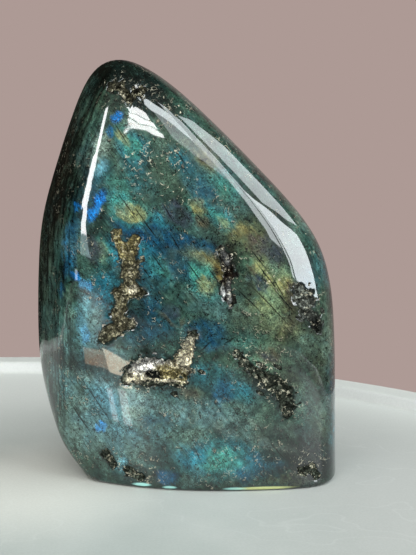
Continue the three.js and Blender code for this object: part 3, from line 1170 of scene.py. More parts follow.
    Patch((-3.0, -17.0, 65.4), (4.6, 3.0), -40, Tone.OLIVE_GREY, 0.6),
    Patch((24.0, -16.0, 49.6), (7.0, 3.6), -40, Tone.BRONZE, 0.45, 0.6),
    Patch((29.0, -15.5, 38.0), (6.0, 4.4), 0, Tone.BROWN, 0.4, 0.6),
    Patch((21.0, -16.0, 53.6), (6.4, 2.8), -50, Tone.OLIVE_GOLD, 0.4, 0.45),
    Patch((27.0, -16.4, 3.4), (13.0, 3.0), 0, Tone.BLACK_GREEN, 0.6),
    Patch((35.0, -15.0, 10.0), (6.0, 6.0), 0, Tone.BLACK_GREEN, 0.6),
    Patch((-8.4, -11.5, 110.6), (4.4, 3.6), -30, Tone.GRAPHITE, 0.75),
    Patch((-36.5, -5.0, 86.0), (28.0, 2.8), 76, Tone.UMBER, 0.8),
    Patch((-8.0, -16.6, 67.0), (4.6, 3.2), 70, Tone.DEEP_BLUE, 0.6),
    Patch((-1.4, -16.6, 63.6), (3.4, 3.0), -50, Tone.DUSK_BLUE, 0.6),
    Patch((25.0, -14.6, 74.0), (5.0, 3.6), -60, Tone.BLACK_GREEN, 0.5),
    Patch((25.6, -14.8, 66.0), (4.6, 3.6), -60, Tone.BROWN, 0.55),
    Patch((32.6, -13.4, 60.6), (7.4, 3.4), -76, Tone.UMBER, 0.8),
    Patch((17.6, -16.4, 57.0), (4.4, 2.6), -56, Tone.BLACK_GREEN, 0.5),
    Patch((-21.4, -16.0, 47.0), (6.4, 2.6), 90, Tone.DUSK_BLUE, 0.6),
    Patch((-35.0, -10.0, 36.6), (6.0, 2.6), -8, Tone.UMBER, 0.5),
    Patch((35.0, -15.0, 4.0), (10.0, 5.0), 8, Tone.BLACK_GREEN, 0.85),
    # The next seven patches are painted reflections: pale streaks of mirrored light low on the front and on
    # the right side, and the soft glow round the ridge's highlight.
    Patch((-14.4, -17.2, 25.4), (6.0, 3.6), 90, Tone.REFLECTION_GREY, 0.6, 0.6),
    Patch((-24.0, -12.0, 96.0), (4.8, 2.2), 75, Tone.REFLECTION_GREY, 0.6, 0.6),
    Patch((6.0, -18.0, 22.0), (20.0, 1.6), -12, Tone.REFLECTION_GREY, 0.22, 0.7),
    Patch((14.0, -18.0, 17.0), (16.0, 1.3), -18, Tone.REFLECTION_GREY, 0.18, 0.7),
    Patch((-21.0, -15.0, 30.0), (10.0, 1.6), -20, Tone.REFLECTION_GREY, 0.3, 0.7),
    Patch((40.0, -11.0, 36.0), (16.0, 1.6), 88, Tone.REFLECTION_GREY, 0.18, 0.7),
    Patch((-26.0, -14.4, 48.0), (8.0, 2.4), 88, Tone.REFLECTION_GREY, 0.35, 0.6),
    Patch((5.0, -15.0, 84.0), (5.0, 3.4), -50, Tone.DUSK_BLUE, 0.7),
    Patch((18.5, -14.5, 83.6), (5.4, 3.2), -50, Tone.BLACK_GREEN, 0.6),
    Patch((25.4, -14.6, 76.4), (5.4, 3.2), -60, Tone.BLACK_GREEN, 0.65),
    Patch((-1.4, -16.6, 64.4), (4.0, 3.4), -50, Tone.DUSK_BLUE, 0.7),
    Patch((-8.0, -16.6, 69.6), (3.4, 2.4), -50, Tone.DEEP_BLUE, 0.6),
    Patch((32.6, -13.4, 63.8), (5.6, 3.4), -62, Tone.UMBER, 0.85),
    Patch((26.4, -14.8, 67.4), (3.6, 2.4), -50, Tone.BLACK_GREEN, 0.6),
    Patch((16.6, -16.4, 56.6), (3.4, 3.0), -50, Tone.BLACK_GREEN, 0.6),
    Patch((30.6, -15.0, 51.4), (4.4, 3.4), -50, Tone.UMBER, 0.8),
    Patch((18.0, -16.6, 47.6), (5.4, 4.6), -50, Tone.BLACK_GREEN, 0.5),
    Patch((-13.0, -16.6, 50.6), (2.6, 4.4), 0, Tone.BLACK_GREEN, 0.7),
    Patch((-12.6, -17.0, 43.8), (4.4, 2.4), 0, Tone.DUSK_BLUE, 0.7),
    Patch((-31.0, -12.0, 37.4), (11.0, 3.0), -8, Tone.UMBER, 0.6),
    Patch((32.0, -15.0, 37.0), (9.0, 4.4), -10, Tone.BLACK_GREEN, 0.5),
    Patch((38.6, -12.6, 29.6), (4.0, 4.4), 0, Tone.BLACK_GREEN, 0.6),
    # The next two patches are painted reflection: the pale floor's veil mirrored low on the front and on
    # the left.
    Patch((3.0, -18.0, 23.6), (13.0, 3.4), 0, Tone.REFLECTION_SLATE, 0.5),
    Patch((-32.0, -11.0, 14.6), (6.4, 4.4), -60, Tone.REFLECTION_SLATE, 0.6),
    Patch((-8.6, -18.0, 10.0), (4.0, 3.0), 0, Tone.BLACK_GREEN, 0.6),
    Patch((38.6, -12.6, 7.0), (6.0, 6.0), 0, Tone.GRAPHITE, 0.7),
    Patch((-28.6, -11.4, 88.0), (7.0, 2.0), 76, Tone.GRAPHITE, 0.6),
    Patch((24.4, -14.8, 68.6), (4.8, 2.8), -60, Tone.MAUVE_SLATE, 0.8, 0.35),
    Patch((21.2, -15.8, 59.4), (2.6, 1.6), -70, Tone.MAUVE_SLATE, 0.95, 0.35),
    Patch((33.0, -13.8, 56.6), (5.4, 2.2), -66, Tone.MAUVE_SLATE, 0.9, 0.35),
    Patch((27.0, -15.6, 42.6), (6.0, 3.0), -10, Tone.BLACK_GREEN, 0.4),
    Patch((-18.5, -12.3, 105.0), (1.6, 1.4), 20, Tone.VIVID_BLUE, 1.0, 0.6),
    Patch((-20.5, -12.8, 101.2), (1.6, 1.1), 70, Tone.BLUE, 0.9, 0.4),
    Patch((-24.4, -14.9, 80.8), (4.1, 1.4), 60, Tone.VIVID_BLUE, 1.0),
    Patch((-26.1, -15.0, 78.9), (1.9, 1.4), 70, Tone.VIVID_BLUE, 1.0, 0.6),
    Patch((-29.8, -14.2, 80.2), (1.1, 0.8), 80, Tone.VIVID_BLUE, 0.7, 0.4),
    Patch((-30.3, -15.1, 61.7), (1.4, 1.1), -30, Tone.VIVID_BLUE, 0.9, 0.4),
    Patch((-28.1, -15.6, 59.2), (1.7, 1.7), -40, Tone.SKY_BLUE, 0.85, 0.4),
    Patch((-27.9, -15.6, 54.7), (2.5, 1.1), 85, Tone.PALE_BLUE, 0.7, 0.4),
    Patch((-28.1, -15.2, 44.4), (2.8, 1.1), 85, Tone.SKY_BLUE, 0.85, 0.4),
    Patch((-28.4, -15.2, 50.0), (9.0, 1.8), 88, Tone.PALE_BLUE, 0.5, 0.6),
    Patch((-24.2, -14.4, 17.4), (1.4, 1.4), -40, Tone.SKY_BLUE, 0.9, 0.4),
    Patch((-19.1, -14.9, 6.5), (2.0, 2.0), -45, Tone.PALE_BLUE, 0.7, 0.4),
    Patch((-23.3, -13.9, 91.2), (2.2, 1.1), 70, Tone.PALE_BLUE, 0.7, 0.4),
    Patch((-34.8, -11.7, 56.3), (2.5, 0.8), 85, Tone.DEEP_BLUE, 0.8, 0.4),
)

# Painted glints: light caught in the sawn edge of the base, painted into its colour.
EDGE_GLINT_PATCHES = (
    Patch((-12.6, -18.0, 1.2), (2.4, 0.5), 2, Tone.GLINT_CYAN, 0.9, 0.4),
    Patch((-4.6, -18.0, 0.9), (1.8, 0.45), 2, Tone.GLINT_CYAN, 0.8, 0.4),
    Patch((22.0, -16.0, 0.8), (8.0, 0.5), 0, Tone.GLINT_YELLOW, 0.85, 0.4),
    Patch((14.0, -17.0, 0.8), (3.0, 0.45), 0, Tone.GLINT_CYAN, 0.6, 0.4),
)

# The colour that a patch of another one shades into at its rim, as the layers thin out.
RINGS = {
    Tone.MAUVE: Tone.BRONZE,
    Tone.BRONZE: Tone.OLIVE_GOLD,
    Tone.UMBER_GOLD: Tone.OLIVE_GOLD,
    Tone.OLIVE_GOLD: Tone.TEAL_GREEN,
    Tone.SAGE: Tone.TEAL_GREEN,
    Tone.TEAL_GREEN: Tone.TEAL,
    Tone.TEAL: Tone.DEEP_BLUE,
    Tone.PALE_BLUE: Tone.STEEL_BLUE,
}

# The flashes of the unseen back and flank, laid out along the same cleavage.
BACK_PATCHES = (
    Patch((-14.0, 18.0, 84.0), (13.0, 7.0), 52, Tone.DEEP_BLUE, 0.85, 0.4),
    Patch((-20.0, 17.0, 72.0), (8.0, 4.0), 50, Tone.VIVID_BLUE, 0.8, 0.35),
    Patch((-6.0, 18.0, 76.0), (9.0, 4.0), 48, Tone.TEAL, 0.85, 0.35),
    Patch((6.0, 18.5, 66.0), (10.0, 5.0), 52, Tone.TEAL_GREEN, 0.85, 0.35),
    Patch((12.0, 18.5, 58.0), (8.0, 4.5), 50, Tone.OLIVE_GOLD, 0.9, 0.3),
    Patch((22.0, 17.0, 50.0), (7.0, 5.0), 48, Tone.SAGE, 0.7, 0.4),
    Patch((28.0, 14.0, 62.0), (7.0, 3.0), 50, Tone.BRONZE, 0.6, 0.4),
    Patch((-24.0, 15.0, 50.0), (9.0, 5.0), 54, Tone.STEEL_BLUE, 0.8, 0.4),
    Patch((-12.0, 18.0, 38.0), (12.0, 5.0), 46, Tone.DUSK_BLUE, 0.8, 0.4),
    Patch((0.0, 18.5, 42.0), (6.0, 4.0), 52, Tone.MAUVE, 0.7, 0.4),
    Patch((2.0, 18.0, 30.0), (11.0, 6.0), 50, Tone.DEEP_BLUE, 0.8, 0.35),
    Patch((10.0, 18.0, 22.0), (9.0, 4.0), 40, Tone.TEAL, 0.8, 0.35),
    Patch((24.0, 16.5, 20.0), (8.0, 5.0), 52, Tone.TEAL_GREEN, 0.75, 0.4),
    Patch((32.0, 13.0, 32.0), (6.0, 4.0), 55, Tone.OLIVE_GOLD, 0.7, 0.35),
    Patch((-18.0, 15.0, 20.0), (8.0, 4.0), 44, Tone.PALE_BLUE, 0.4),
    Patch((36.0, 2.0, 60.0), (9.0, 5.0), 60, Tone.STEEL_BLUE, 0.6),
    Patch((43.0, 1.0, 30.0), (12.0, 5.0), 85, Tone.DUSK_BLUE, 0.6),
    Patch((43.0, 4.0, 14.0), (8.0, 4.0), 80, Tone.TEAL, 0.5),
    Patch((10.0, 2.0, 92.0), (10.0, 5.0), -45, Tone.DUSK_BLUE, 0.5),
    Patch((-12.0, 15.0, 104.0), (9.0, 6.0), 50, Tone.BLACK_GREEN, 0.7),
    Patch((-40.0, 6.0, 60.0), (16.0, 5.0), 88, Tone.UMBER, 0.5),
)

# The broken rock is tinted pit by pit, with painted shade in the shelf pit's deepest hollow.
ROCK_PATCHES = (
    Patch((-16.0, -17.0, 71.0), (6.0, 4.0), 88, Tone.HONEY, 0.9),
    Patch((-17.4, -17.0, 55.0), (13.0, 5.0), 75, Tone.OLIVE_ROCK, 0.85),
    Patch((-14.6, -17.0, 57.6), (1.6, 1.2), 30, Tone.CREAM, 0.9, 0.4),
    Patch((-12.2, -18.0, 34.6), (5.0, 2.6), 38, Tone.CREAM, 1.0, 0.3),
    Patch((-7.0, -18.0, 36.6), (6.0, 1.3), -12, Tone.CREAM, 0.9, 0.4),
    Patch((-10.0, -18.0, 36.8), (5.4, 2.4), 24, Tone.WHITE, 0.8, 0.4),
    Patch((0.6, -18.0, 39.0), (5.0, 3.6), 62, Tone.CREAM, 0.9, 0.4),
    Patch((-5.4, -18.0, 34.2), (3.6, 2.0), 0, Tone.HONEY, 0.9, 0.4),
    Patch((-1.6, -18.0, 33.6), (2.0, 2.4), 60, Tone.HONEY, 0.8, 0.4),
    # Painted shade in the shelf pit's deepest hollow.
    Patch((-9.2, -18.0, 33.4), (2.5, 1.6), -12, Tone.GRAPHITE, 1.0, 0.25),
    Patch((-7.0, -18.0, 31.9), (7.0, 0.35), 0, Tone.CREAM, 1.0, 0.4),
    Patch((11.8, -17.0, 61.5), (9.5, 3.4), 88, Tone.BLACK_BROWN, 1.0, 0.4),
    Patch((11.2, -17.0, 66.6), (2.6, 0.9), -70, Tone.SILVER, 0.45),
    Patch((12.2, -17.0, 57.0), (3.0, 0.8), 92, Tone.SILVER, 0.45),
    Patch((10.4, -17.0, 57.2), (1.7, 0.7), 96, Tone.SILVER, 1.0, 0.4),
    Patch((33.8, -14.5, 53.5), (7.5, 3.6), -60, Tone.LAVENDER, 0.5, 0.6),
    Patch((36.8, -14.5, 47.0), (2.6, 1.6), -60, Tone.GRAPHITE, 0.9, 0.4),
    Patch((24.0, -17.0, 31.0), (15.0, 5.0), -54, Tone.DARK_ROCK, 1.0, 0.4),
    Patch((-19.0, -17.0, 6.4), (9.0, 4.6), -30, Tone.DARK_ROCK, 1.0, 0.4),
    Patch((35.6, -16.0, 5.0), (5.0, 4.0), 0, Tone.DARK_ROCK, 1.0, 0.4),
    Patch((-16.0, -12.0, 112.0), (7.0, 4.6), 0, Tone.CROWN_ROCK, 1.0, 0.4),
)

# Where pale flecks of feldspar crowd together.
FLECK_PATCHES = (
    Patch((-9.0, -14.0, 93.0), (8.0, 6.5), 0, Tone.WHITE, 0.9, 0.6),
    Patch((-4.0, -14.0, 88.0), (8.0, 6.0), -40, Tone.WHITE, 0.8, 0.6),
    Patch((-21.0, -14.0, 78.6), (3.0, 2.4), 0, Tone.WHITE, 1.0),
    Patch((-23.4, -14.0, 75.0), (1.8, 1.4), 0, Tone.WHITE, 1.0),
    Patch((-3.0, -14.0, 107.0), (4.4, 1.8), -48, Tone.WHITE, 1.0),
    Patch((-16.0, -12.0, 110.0), (10.0, 6.0), 0, Tone.WHITE, 0.35),
    Patch((-7.4, -17.0, 54.8), (1.6, 1.0), 0, Tone.WHITE, 1.0),
    Patch((-1.4, -17.0, 61.6), (4.6, 1.3), -58, Tone.WHITE, 1.0),
    Patch((13.0, -17.0, 66.0), (5.0, 4.0), 0, Tone.WHITE, 0.6, 0.6),
    Patch((24.0, -16.0, 60.0), (5.0, 4.0), 0, Tone.WHITE, 0.5, 0.6),
    Patch((24.0, -17.0, 32.0), (13.0, 4.0), -54, Tone.WHITE, 0.8, 0.6),
    Patch((-14.0, -17.0, 5.0), (8.0, 3.6), -14, Tone.WHITE, 0.7, 0.6),
    Patch((36.0, -15.0, 7.0), (4.0, 4.4), 0, Tone.WHITE, 0.7, 0.6),
    Patch((16.0, -17.0, 9.0), (16.0, 7.0), 0, Tone.WHITE, 0.35, 0.6),
    Patch((4.0, -17.0, 22.0), (14.0, 8.0), 0, Tone.WHITE, 0.25, 0.6),
    Patch((-12.0, 17.0, 56.0), (9.0, 6.0), 30, Tone.WHITE, 0.7, 0.6),
    Patch((10.0, 17.0, 30.0), (12.0, 8.0), -30, Tone.WHITE, 0.5, 0.6),
)


@dataclass(frozen=True)
class Crack:
    """A dark hairline in the stone.

    Attributes:
        place: Its middle, in millimetres in the part's frame.
        length: Half its length.
        turn: Degrees from level, upwards to the right.
        width: Half its width.
    """

    place: tuple[float, float, float]
    length: float
    turn: float
    width: float = 0.22


CRACKS = (
    Crack((20.4, -16.4, 66.0), 4.0, -52, 0.2),
    Crack((-25.6, -14.6, 26.0), 8.0, -56, 0.2),
    Crack((4.4, -15.4, 77.2), 3.6, -50, 0.2),
    Crack((-12.2, -15.2, 78.2), 3.2, -52, 0.2),
    Crack((-15.8, -15.2, 80.8), 4.2, -54, 0.2),
    Crack((8.6, -16.6, 60.8), 4.2, -54, 0.23),
    Crack((29.6, -15.2, 57.6), 3.8, -56, 0.23),
    Crack((25.2, -16.2, 51.6), 6.4, -48, 0.2),
    Crack((27.4, -16.2, 54.6), 6.0, -50, 0.23),
    Crack((23.4, -16.2, 60.4), 5.6, -52, 0.25),
    Crack((-9.8, -17.0, 74.8), 4.2, -52),
    Crack((-2.6, -17.4, 70.8), 3.2, -60),
    Crack((2.6, -17.4, 62.6), 5.2, -54),
    Crack((-7.6, -17.4, 65.6), 3.4, -54),
    Crack((-10.6, -17.4, 62.6), 2.6, -56),
    Crack((21.6, -16.2, 55.4), 5.0, -46, 0.2),
    Crack((17.6, -16.6, 54.8), 5.4, -44, 0.25),
    Crack((26.0, -15.8, 58.0), 4.4, -60),
    Crack((-1.4, -15.4, 94.4), 3.2, -56),
    Crack((-17.4, -13.4, 100.4), 3.8, -58, 0.2),
    Crack((-4.6, -16.6, 79.0), 3.6, -60),
    Crack((-30.2, -12.6, 19.8), 6.4, -56, 0.25),
    Crack((26.0, -17.0, 11.6), 3.6, -50),
    Crack((3.4, -17.6, 11.0), 2.0, -66),
    Crack((34.0, -15.6, 12.6), 3.4, -62, 0.24),
    Crack((12.6, -17.4, 43.6), 2.6, 30, 0.2),
    Crack((5.6, -17.8, 41.8), 2.4, 44, 0.24),
)


@dataclass(frozen=True)
class LabradoriteFinish:
    """Polished labradorite, with broken rock where the surface is pitted.

    Attributes:
        cleavage: Degrees from level to the cleavage lines, upwards to the right.
        lift: What every colour of the stone is multiplied by.
        polish_roughness: Roughness of the polished layer.
        body_roughness: Roughness of the stone under it.
        rock_roughness: Roughness of broken rock.
        refraction: Index of refraction of the polished layer.
        body_refraction: Index of refraction of the stone under it.
        body_specular: How strongly the stone under it mirrors.
        crumb: Rough width of a crumb of broken rock, in millimetres.
        crumb_height: Height of a crumb, in millimetres.
        ring_width: Size of a patch's ring over the size of the patch.
        ring_strength: Strength of the ring over that of the patch.
        ring_softness: How much softer the ring's edge is than the patch's.
        folds: Sizes of the folds in the stone's flow and how far they reach, in millimetres.
        grains: Sizes of the coarser grains in millimetres, and their contrast.
    """

    cleavage: float = -52.0
    lift: tuple[float, float, float] = (0.705, 0.815, 0.73)
    polish_roughness: float = 0.035
    body_roughness: float = 0.4
    rock_roughness: float = 0.5
    refraction: float = 1.56
    body_refraction: float = 1.4
    body_specular: float = 0.1
    crumb: float = 0.95
    crumb_height: float = 0.3
    ring_width: float = 1.4
    ring_strength: float = 0.75
    ring_softness: float = 0.3
    folds: tuple[tuple[float, float], ...] = ((9.0, 3.4), (3.2, 2.4), (1.1, 0.8))
    grains: tuple[tuple[float, float], ...] = ((1.3, 2.6), (2.8, 1.5))

    def build(self, effects: StoneEffects) -> bpy.types.Material:
        """Makes the material.

        Args:
            effects: The shared node groups.

        Returns:
            The finished material.
        """
        material, graph, shader = new_material("polished_labradorite")
        layers = StoneLayers(self, graph, effects)
        colour = layers.texture(layers.flashes(layers.body()))

        broken = graph.add("ShaderNodeAttribute", attribute_name="broken").outputs["Fac"]
        halo = graph.add("ShaderNodeAttribute", attribute_name="halo").outputs["Fac"]
        # The stone's own darker mottling round each pit, with painted shade in a band along its rim.
        mottle_and_rim_shade = graph.times(halo, graph.span(graph.noise(layers.at, 1.2, 3.0, 0.7), 0.42, 0.58))
        mottle_and_rim_shade = graph.math("MAXIMUM", mottle_and_rim_shade, graph.span(halo, 0.8, 1.0))
        colour = graph.blend(graph.times(mottle_and_rim_shade, 0.8), colour, linear(Tone.BLACK_GREEN))
        # Painted glints along the base's sawn edge.
        colour = layers.lay_all(EDGE_GLINT_PATCHES, graph.vector("MULTIPLY", colour, self.lift))
        # Pale flecks, and painted highlights on the lips of tiny pocks, laid in cream.
        pale = layers.pale_flecks_and_pock_highlights()
        colour = graph.blend(graph.times(pale, 0.75), colour, linear(Tone.CREAM))
        is_rock = graph.span(broken, 0.01, 0.1)
        cells, gaps = layers.crumbs()
        graph.tree.links.new(
            graph.blend(is_rock, colour, layers.rock(cells, gaps, broken)), shader.inputs["Base Color"]
        )

        rim = graph.span(halo, 0.86, 1.0)
        dull = graph.math("MAXIMUM", graph.math("MAXIMUM", is_rock, rim), graph.times(pale, 0.7))
        roughness = graph.span(dull, 0, 1, self.body_roughness, self.rock_roughness)
        graph.tree.links.new(roughness, shader.inputs["Roughness"])
        graph.tree.links.new(graph.math("SUBTRACT", 1.0, dull, clamp=True), shader.inputs["Coat Weight"])
        grit = graph.math("ADD", graph.noise(layers.at, 0.35, 4.0, 0.7), graph.times(gaps, 2.0))
        height = graph.times(grit, is_rock)
        height = graph.math("SUBTRACT", height, graph.times(pale, 0.4))
        feeds = {"Height": height, "Strength": 0.9, "Distance": self.crumb_height * MM}
        graph.tree.links.new(graph.add("ShaderNodeBump", feeds).outputs[0], shader.inputs["Normal"])
        shader.inputs["Coat Roughness"].default_value = self.polish_roughness
        shader.inputs["Coat IOR"].default_value = self.refraction
        shader.inputs["IOR"].default_value = self.body_refraction
        shader.inputs["Specular IOR Level"].default_value = self.body_specular
        return material


class StoneLayers:
    """The layers of colour in the stone, laid one over another in one node graph."""

    def __init__(self, finish: LabradoriteFinish, graph: Graph, effects: StoneEffects) -> None:
        """Works out the positions that the layers share.

        Args:
            finish: The finish that is made.
            graph: Where the nodes go.
            effects: The shared node groups.
        """
        self.finish, self.graph, self.effects = finish, graph, effects
        turn = math.radians(finish.cleavage)
        # Position in millimetres, and the same with its first axis along the cleavage.
        self.at = graph.place()
        feeds = {"Vector": self.at, "Rotation": (0, turn, 0)}
        self.along = graph.add("ShaderNodeMapping", feeds).outputs[0]
        # The cleavage layers, from 0 to 1.
        self.lamellae = graph.noise(graph.vector("MULTIPLY", self.along, (0.08, 0.2, 1.1)), 1.0, 3.0, 0.6)
        # Position bent by the stone's flow.
        fringe = graph.times(graph.math("SUBTRACT", self.lamellae, 0.5), 4.0)
        shift = graph.scaled((math.cos(turn), 0, math.sin(turn)), fringe)
        self.warped = graph.vector("ADD", self.at, shift)
        for size, reach in finish.folds:
            drift = graph.scaled(graph.sway(self.at, size, 2.0), reach)
            self.warped = graph.vector("ADD", self.warped, drift)

    def _shifted(self, *shift: float) -> Socket:
        """Position moved by that many millimetres, for a pattern that goes its own way."""
        return self.graph.vector("ADD", self.at, shift)

    def body(self) -> Socket:
        """The cloudy grey-green of the stone's body."""
        graph = self.graph
        clouds = graph.noise(self.warped, 11.0, 6.0, 0.62)
        flow = graph.times(graph.math("SUBTRACT", self.lamellae, 0.5), 0.25)
        level = graph.math("ADD", clouds, flow)
        dark = graph.blend(graph.span(level, 0.34, 0.5), linear(Tone.BODY_DARK), linear(Tone.BODY_GREEN))
        return graph.blend(graph.span(level, 0.48, 0.68), dark, linear(Tone.BODY_PALE))

    def flashes(self, colour: Socket) -> Socket:
        """Lays the flashes of colour, each with its ring, over the body.

        Args:
            colour: The colour so far.

        Returns:
            The colour with the flashes.
        """
        graph = self.graph
        mottle = graph.span(graph.noise(self.at, 3.0, 2.0, 0.5), 0.34, 0.6, 0.7, 1.1)
        streaks = graph.times(graph.span(self.lamellae, 0.34, 0.62, 0.6, 1.1), mottle)
        # A hair's shift makes the patches wait for the body, so that each one is laid as soon as it is
        # worked out. Without it the renderer holds all their masks at once and runs out of room.
        feeds = {"Vector": self.warped, "Location": (0, 0.001, 0)}
        settled = graph.add("ShaderNodeMapping", feeds).outputs[0]
        for patch in (*PATCHES, *BACK_PATCHES):
            for oval in self._ovals(patch):
                colour = self._lay(oval, settled, colour, streaks)
        return colour

    def _ovals(self, patch: Patch) -> Iterator[Patch]:
        """A patch, after the wider ring of the colour that it shades into."""
        ring = RINGS.get(patch.tone)
        if ring:
            size = tuple(half * self.finish.ring_width for half in patch.size)
            softness = min(0.95, patch.softness + self.finish.ring_softness)
            strength = patch.strength * self.finish.ring_strength
            yield Patch(patch.place, size, patch.turn, ring, strength, softness)
        yield patch

    def _lay(self, patch: Patch, at: Socket, under: Socket, streaks: Socket | float = 1.0) -> Socket:
        """Lays one patch over what is there.

        Args:
            patch: The patch to lay.
            at: Position in millimetres, bent or not.
            under: The colour so far.
            streaks: How strongly each layer shows the patch.

        Returns:
            The colour with the patch.
        """
        feeds = {
            "Vector": at,
            "Ground": under,
            "Tint": linear(patch.tone),
            "Strength": patch.strength,
            **oval_feeds(patch.place, *patch.size, patch.turn),
            "Softness": patch.softness,
            "Streaks": streaks,
        }
        return self.graph.use(self.effects.patch, feeds)

    def lay_all(self, patches: Sequence[Patch], colour: Socket | Colour) -> Socket:
        """Lays unbent patches over a colour, one after another.

        Args:
            patches: The patches to lay.
            colour: The colour so far.

        Returns:
            The colour with the patches.
        """
        for patch in patches:
            colour = self._lay(patch, self.at, colour)
        return colour

    def texture(self, colour: Socket) -> Socket:
        """Adds cleavage lines, streaks, cracks, grain, dark flecks, and dark curves that are partly fine
        marks and partly painted shade in tiny pocks.

        Args:
            colour: The colour so far.

        Returns:
            The colour with its fine texture.
        """
        graph, at = self.graph, self.at
        fine = graph.noise(graph.vector("MULTIPLY", self.along, (0.12, 0.3, 2.6)), 1.0, 2.0)
        bands = graph.math("ADD", graph.times(fine, 0.5), graph.times(self.lamellae, 0.5))
        colour = graph.scaled(colour, graph.span(bands, 0.36, 0.64, 0.88, 1.1))
        ink = graph.span(graph.noise(at, 6.0, 6.0, 0.66), 0.46, 0.3, 0.0, 0.7)
        colour = graph.blend(ink, colour, linear(Tone.BLACK_GREEN))
        haze = graph.span(graph.noise(self._shifted(17, 3, 8), 2.8, 5.0, 0.7), 0.56, 0.7, 0.0, 0.4)
        colour = graph.blend(haze, colour, linear(Tone.ASH))
        colour = self._bevel_streaks(colour)
        hue = graph.span(graph.noise(self._shifted(8, 21, 4), 8.0, 4.0, 0.6), 0.38, 0.62)
        tinge = graph.blend(hue, (0.92, 0.98, 1.07, 1.0), (1.12, 1.0, 0.92, 1.0))
        colour = graph.vector("MULTIPLY", colour, tinge)
        lines = graph.noise(graph.vector("MULTIPLY", self.along, (0.11, 0.2, 1.5)), 1.0, 1.0)
        thin = graph.span(graph.apart(lines, 0.42), 0.02, 0.004)
        where = graph.span(graph.noise(at, 6.0, 2.0), 0.46, 0.56)
        ink = graph.times(graph.times(thin, where), 0.75)
        colour = graph.blend(ink, colour, linear(Tone.BLACK_GREEN))
        # Dark curves: fine marks in the stone, and painted shade in the hollows of tiny pocks.
        ink = graph.times(self._squiggles(self._shifted(3, 11, 29), 1.4, 0.04, 0.53), 0.85)
        colour = graph.blend(ink, colour, linear(Tone.GRAPHITE))
        cracks = 0.0
        for crack in CRACKS:
            oval = oval_feeds(crack.place, crack.length, crack.width, crack.turn)
            cracks = graph.use(self.effects.hairline, {"Vector": at, "Others": cracks, **oval})
        colour = graph.blend(graph.times(cracks, 0.85), colour, linear(Tone.GRAPHITE))
        crisp = graph.span(graph.noise(at, 5.0, 2.0), 0.36, 0.62, 1.3, 4.8)
        for size, contrast in ((0.4, crisp), *self.finish.grains):
            feeds = {"Vector": at, "Ground": colour, "Grain size": size, "Contrast": contrast}
            colour = graph.use(self.effects.grain, feeds)
        feeds = {"Vector": self._shifted(31, 7, 5), "Spacing": 2.6, "Fleck size": 0.4, "Crowding": 0.5}
        dark = graph.use(self.effects.flecks, feeds)
        return graph.blend(graph.times(dark, 0.7), colour, linear(Tone.GRAPHITE))

    def _bevel_streaks(self, colour: Socket) -> Socket:
        """Draws the long thin layers that show on the left bevel.

        Args:
            colour: The colour so far.

        Returns:
            The colour with light and dark streaks on the bevel.
        """
        graph, form = self.graph, GroundForm()
        past = 0.0
        for flat in form.left_bevel:
            normal = flat.normal()
            reach = flat.reach + float(normal @ np.array(form.heart))
            beyond = graph.math("SUBTRACT", graph.dot(self.at, tuple(normal)), reach)
            past = graph.math("MAXIMUM", past, graph.span(beyond, -2.6, -0.8))
        split = graph.add("ShaderNodeSeparateXYZ", {0: self.at})
        # The streaks lean right above this height, as the bevel's edge does.
        rise = graph.math("MAXIMUM", graph.math("SUBTRACT", split.outputs["Z"], 60.0), 0.0)
        bend = graph.times(graph.times(rise, rise), 0.005)
        across = graph.math("SUBTRACT", split.outputs["X"], bend)
        up = graph.times(split.outputs["Z"], 0.11)
        place = graph.add("ShaderNodeCombineXYZ", {"X": across, "Y": 3.0, "Z": up}).outputs[0]
        level = graph.span(graph.noise(place, 1.5, 5.0, 0.7), 0.38, 0.68, 0.25, 2.2)
        level = graph.math("ADD", 1.0, graph.times(past, graph.math("SUBTRACT", level, 1.0)))
        return graph.scaled(colour, level)

    def pale_flecks_and_pock_highlights(self) -> Socket:
        """A mask of the pale flecks in the polished stone, and of painted highlights on the lips of tiny
        pocks.
        """
        graph, at = self.graph, self.at
        crowd = self.lay_all(FLECK_PATCHES, linear(Tone.SPARSE))
        crowd = graph.add("ShaderNodeSeparateColor", {0: crowd}).outputs[0]
        feeds = {"Vector": at, "Spacing": 1.3, "Fleck size": 0.22, "Crowding": graph.times(crowd, 0.35)}
        dots = graph.use(self.effects.flecks, feeds)
        marks = self._squiggles(at, 1.3, 0.045, 0.575)
        bright = graph.span(graph.noise(at, 1.0, 1.0), 0.35, 0.6, 0.3, 1.0)
        marks = graph.times(graph.times(marks, bright), graph.span(crowd, 0.15, 0.75))
        # The dark curves of texture() again, a quarter of a millimetre off, as painted highlights on the
        # lit lips of tiny pocks.
        lips = self._squiggles(self._shifted(2.78, 11, 28.78), 1.4, 0.035, 0.53)
        here = graph.span(graph.noise(self._shifted(2, 6, 13), 6.0, 2.0), 0.5, 0.64, 0.0, 0.4)
        lips = graph.times(lips, here)
        return graph.math("MAXIMUM", graph.math("MAXIMUM", dots, marks), lips)

    def _squiggles(self, at: Socket, size: float, width: float, rarity: float) -> Socket:
        """Marks short thin curved lines, like the edges of tiny cleavage steps.

        Args:
            at: Position in millimetres.
            size: How far apart the curves are, in millimetres.
            width: How wide they are, as a share of the noise's range.
            rarity: How few are kept, from 0 to 1.

        Returns:
            A mask that is 1 on a line.
        """
        graph = self.graph
        line = graph.span(graph.apart(graph.noise(at, size, 1.0), 0.5), width, width / 3)
        elsewhere = graph.vector("ADD", at, (5, 9, 2))
        return graph.times(line, graph.span(graph.noise(elsewhere, size, 1.0), rarity, rarity + 0.04))

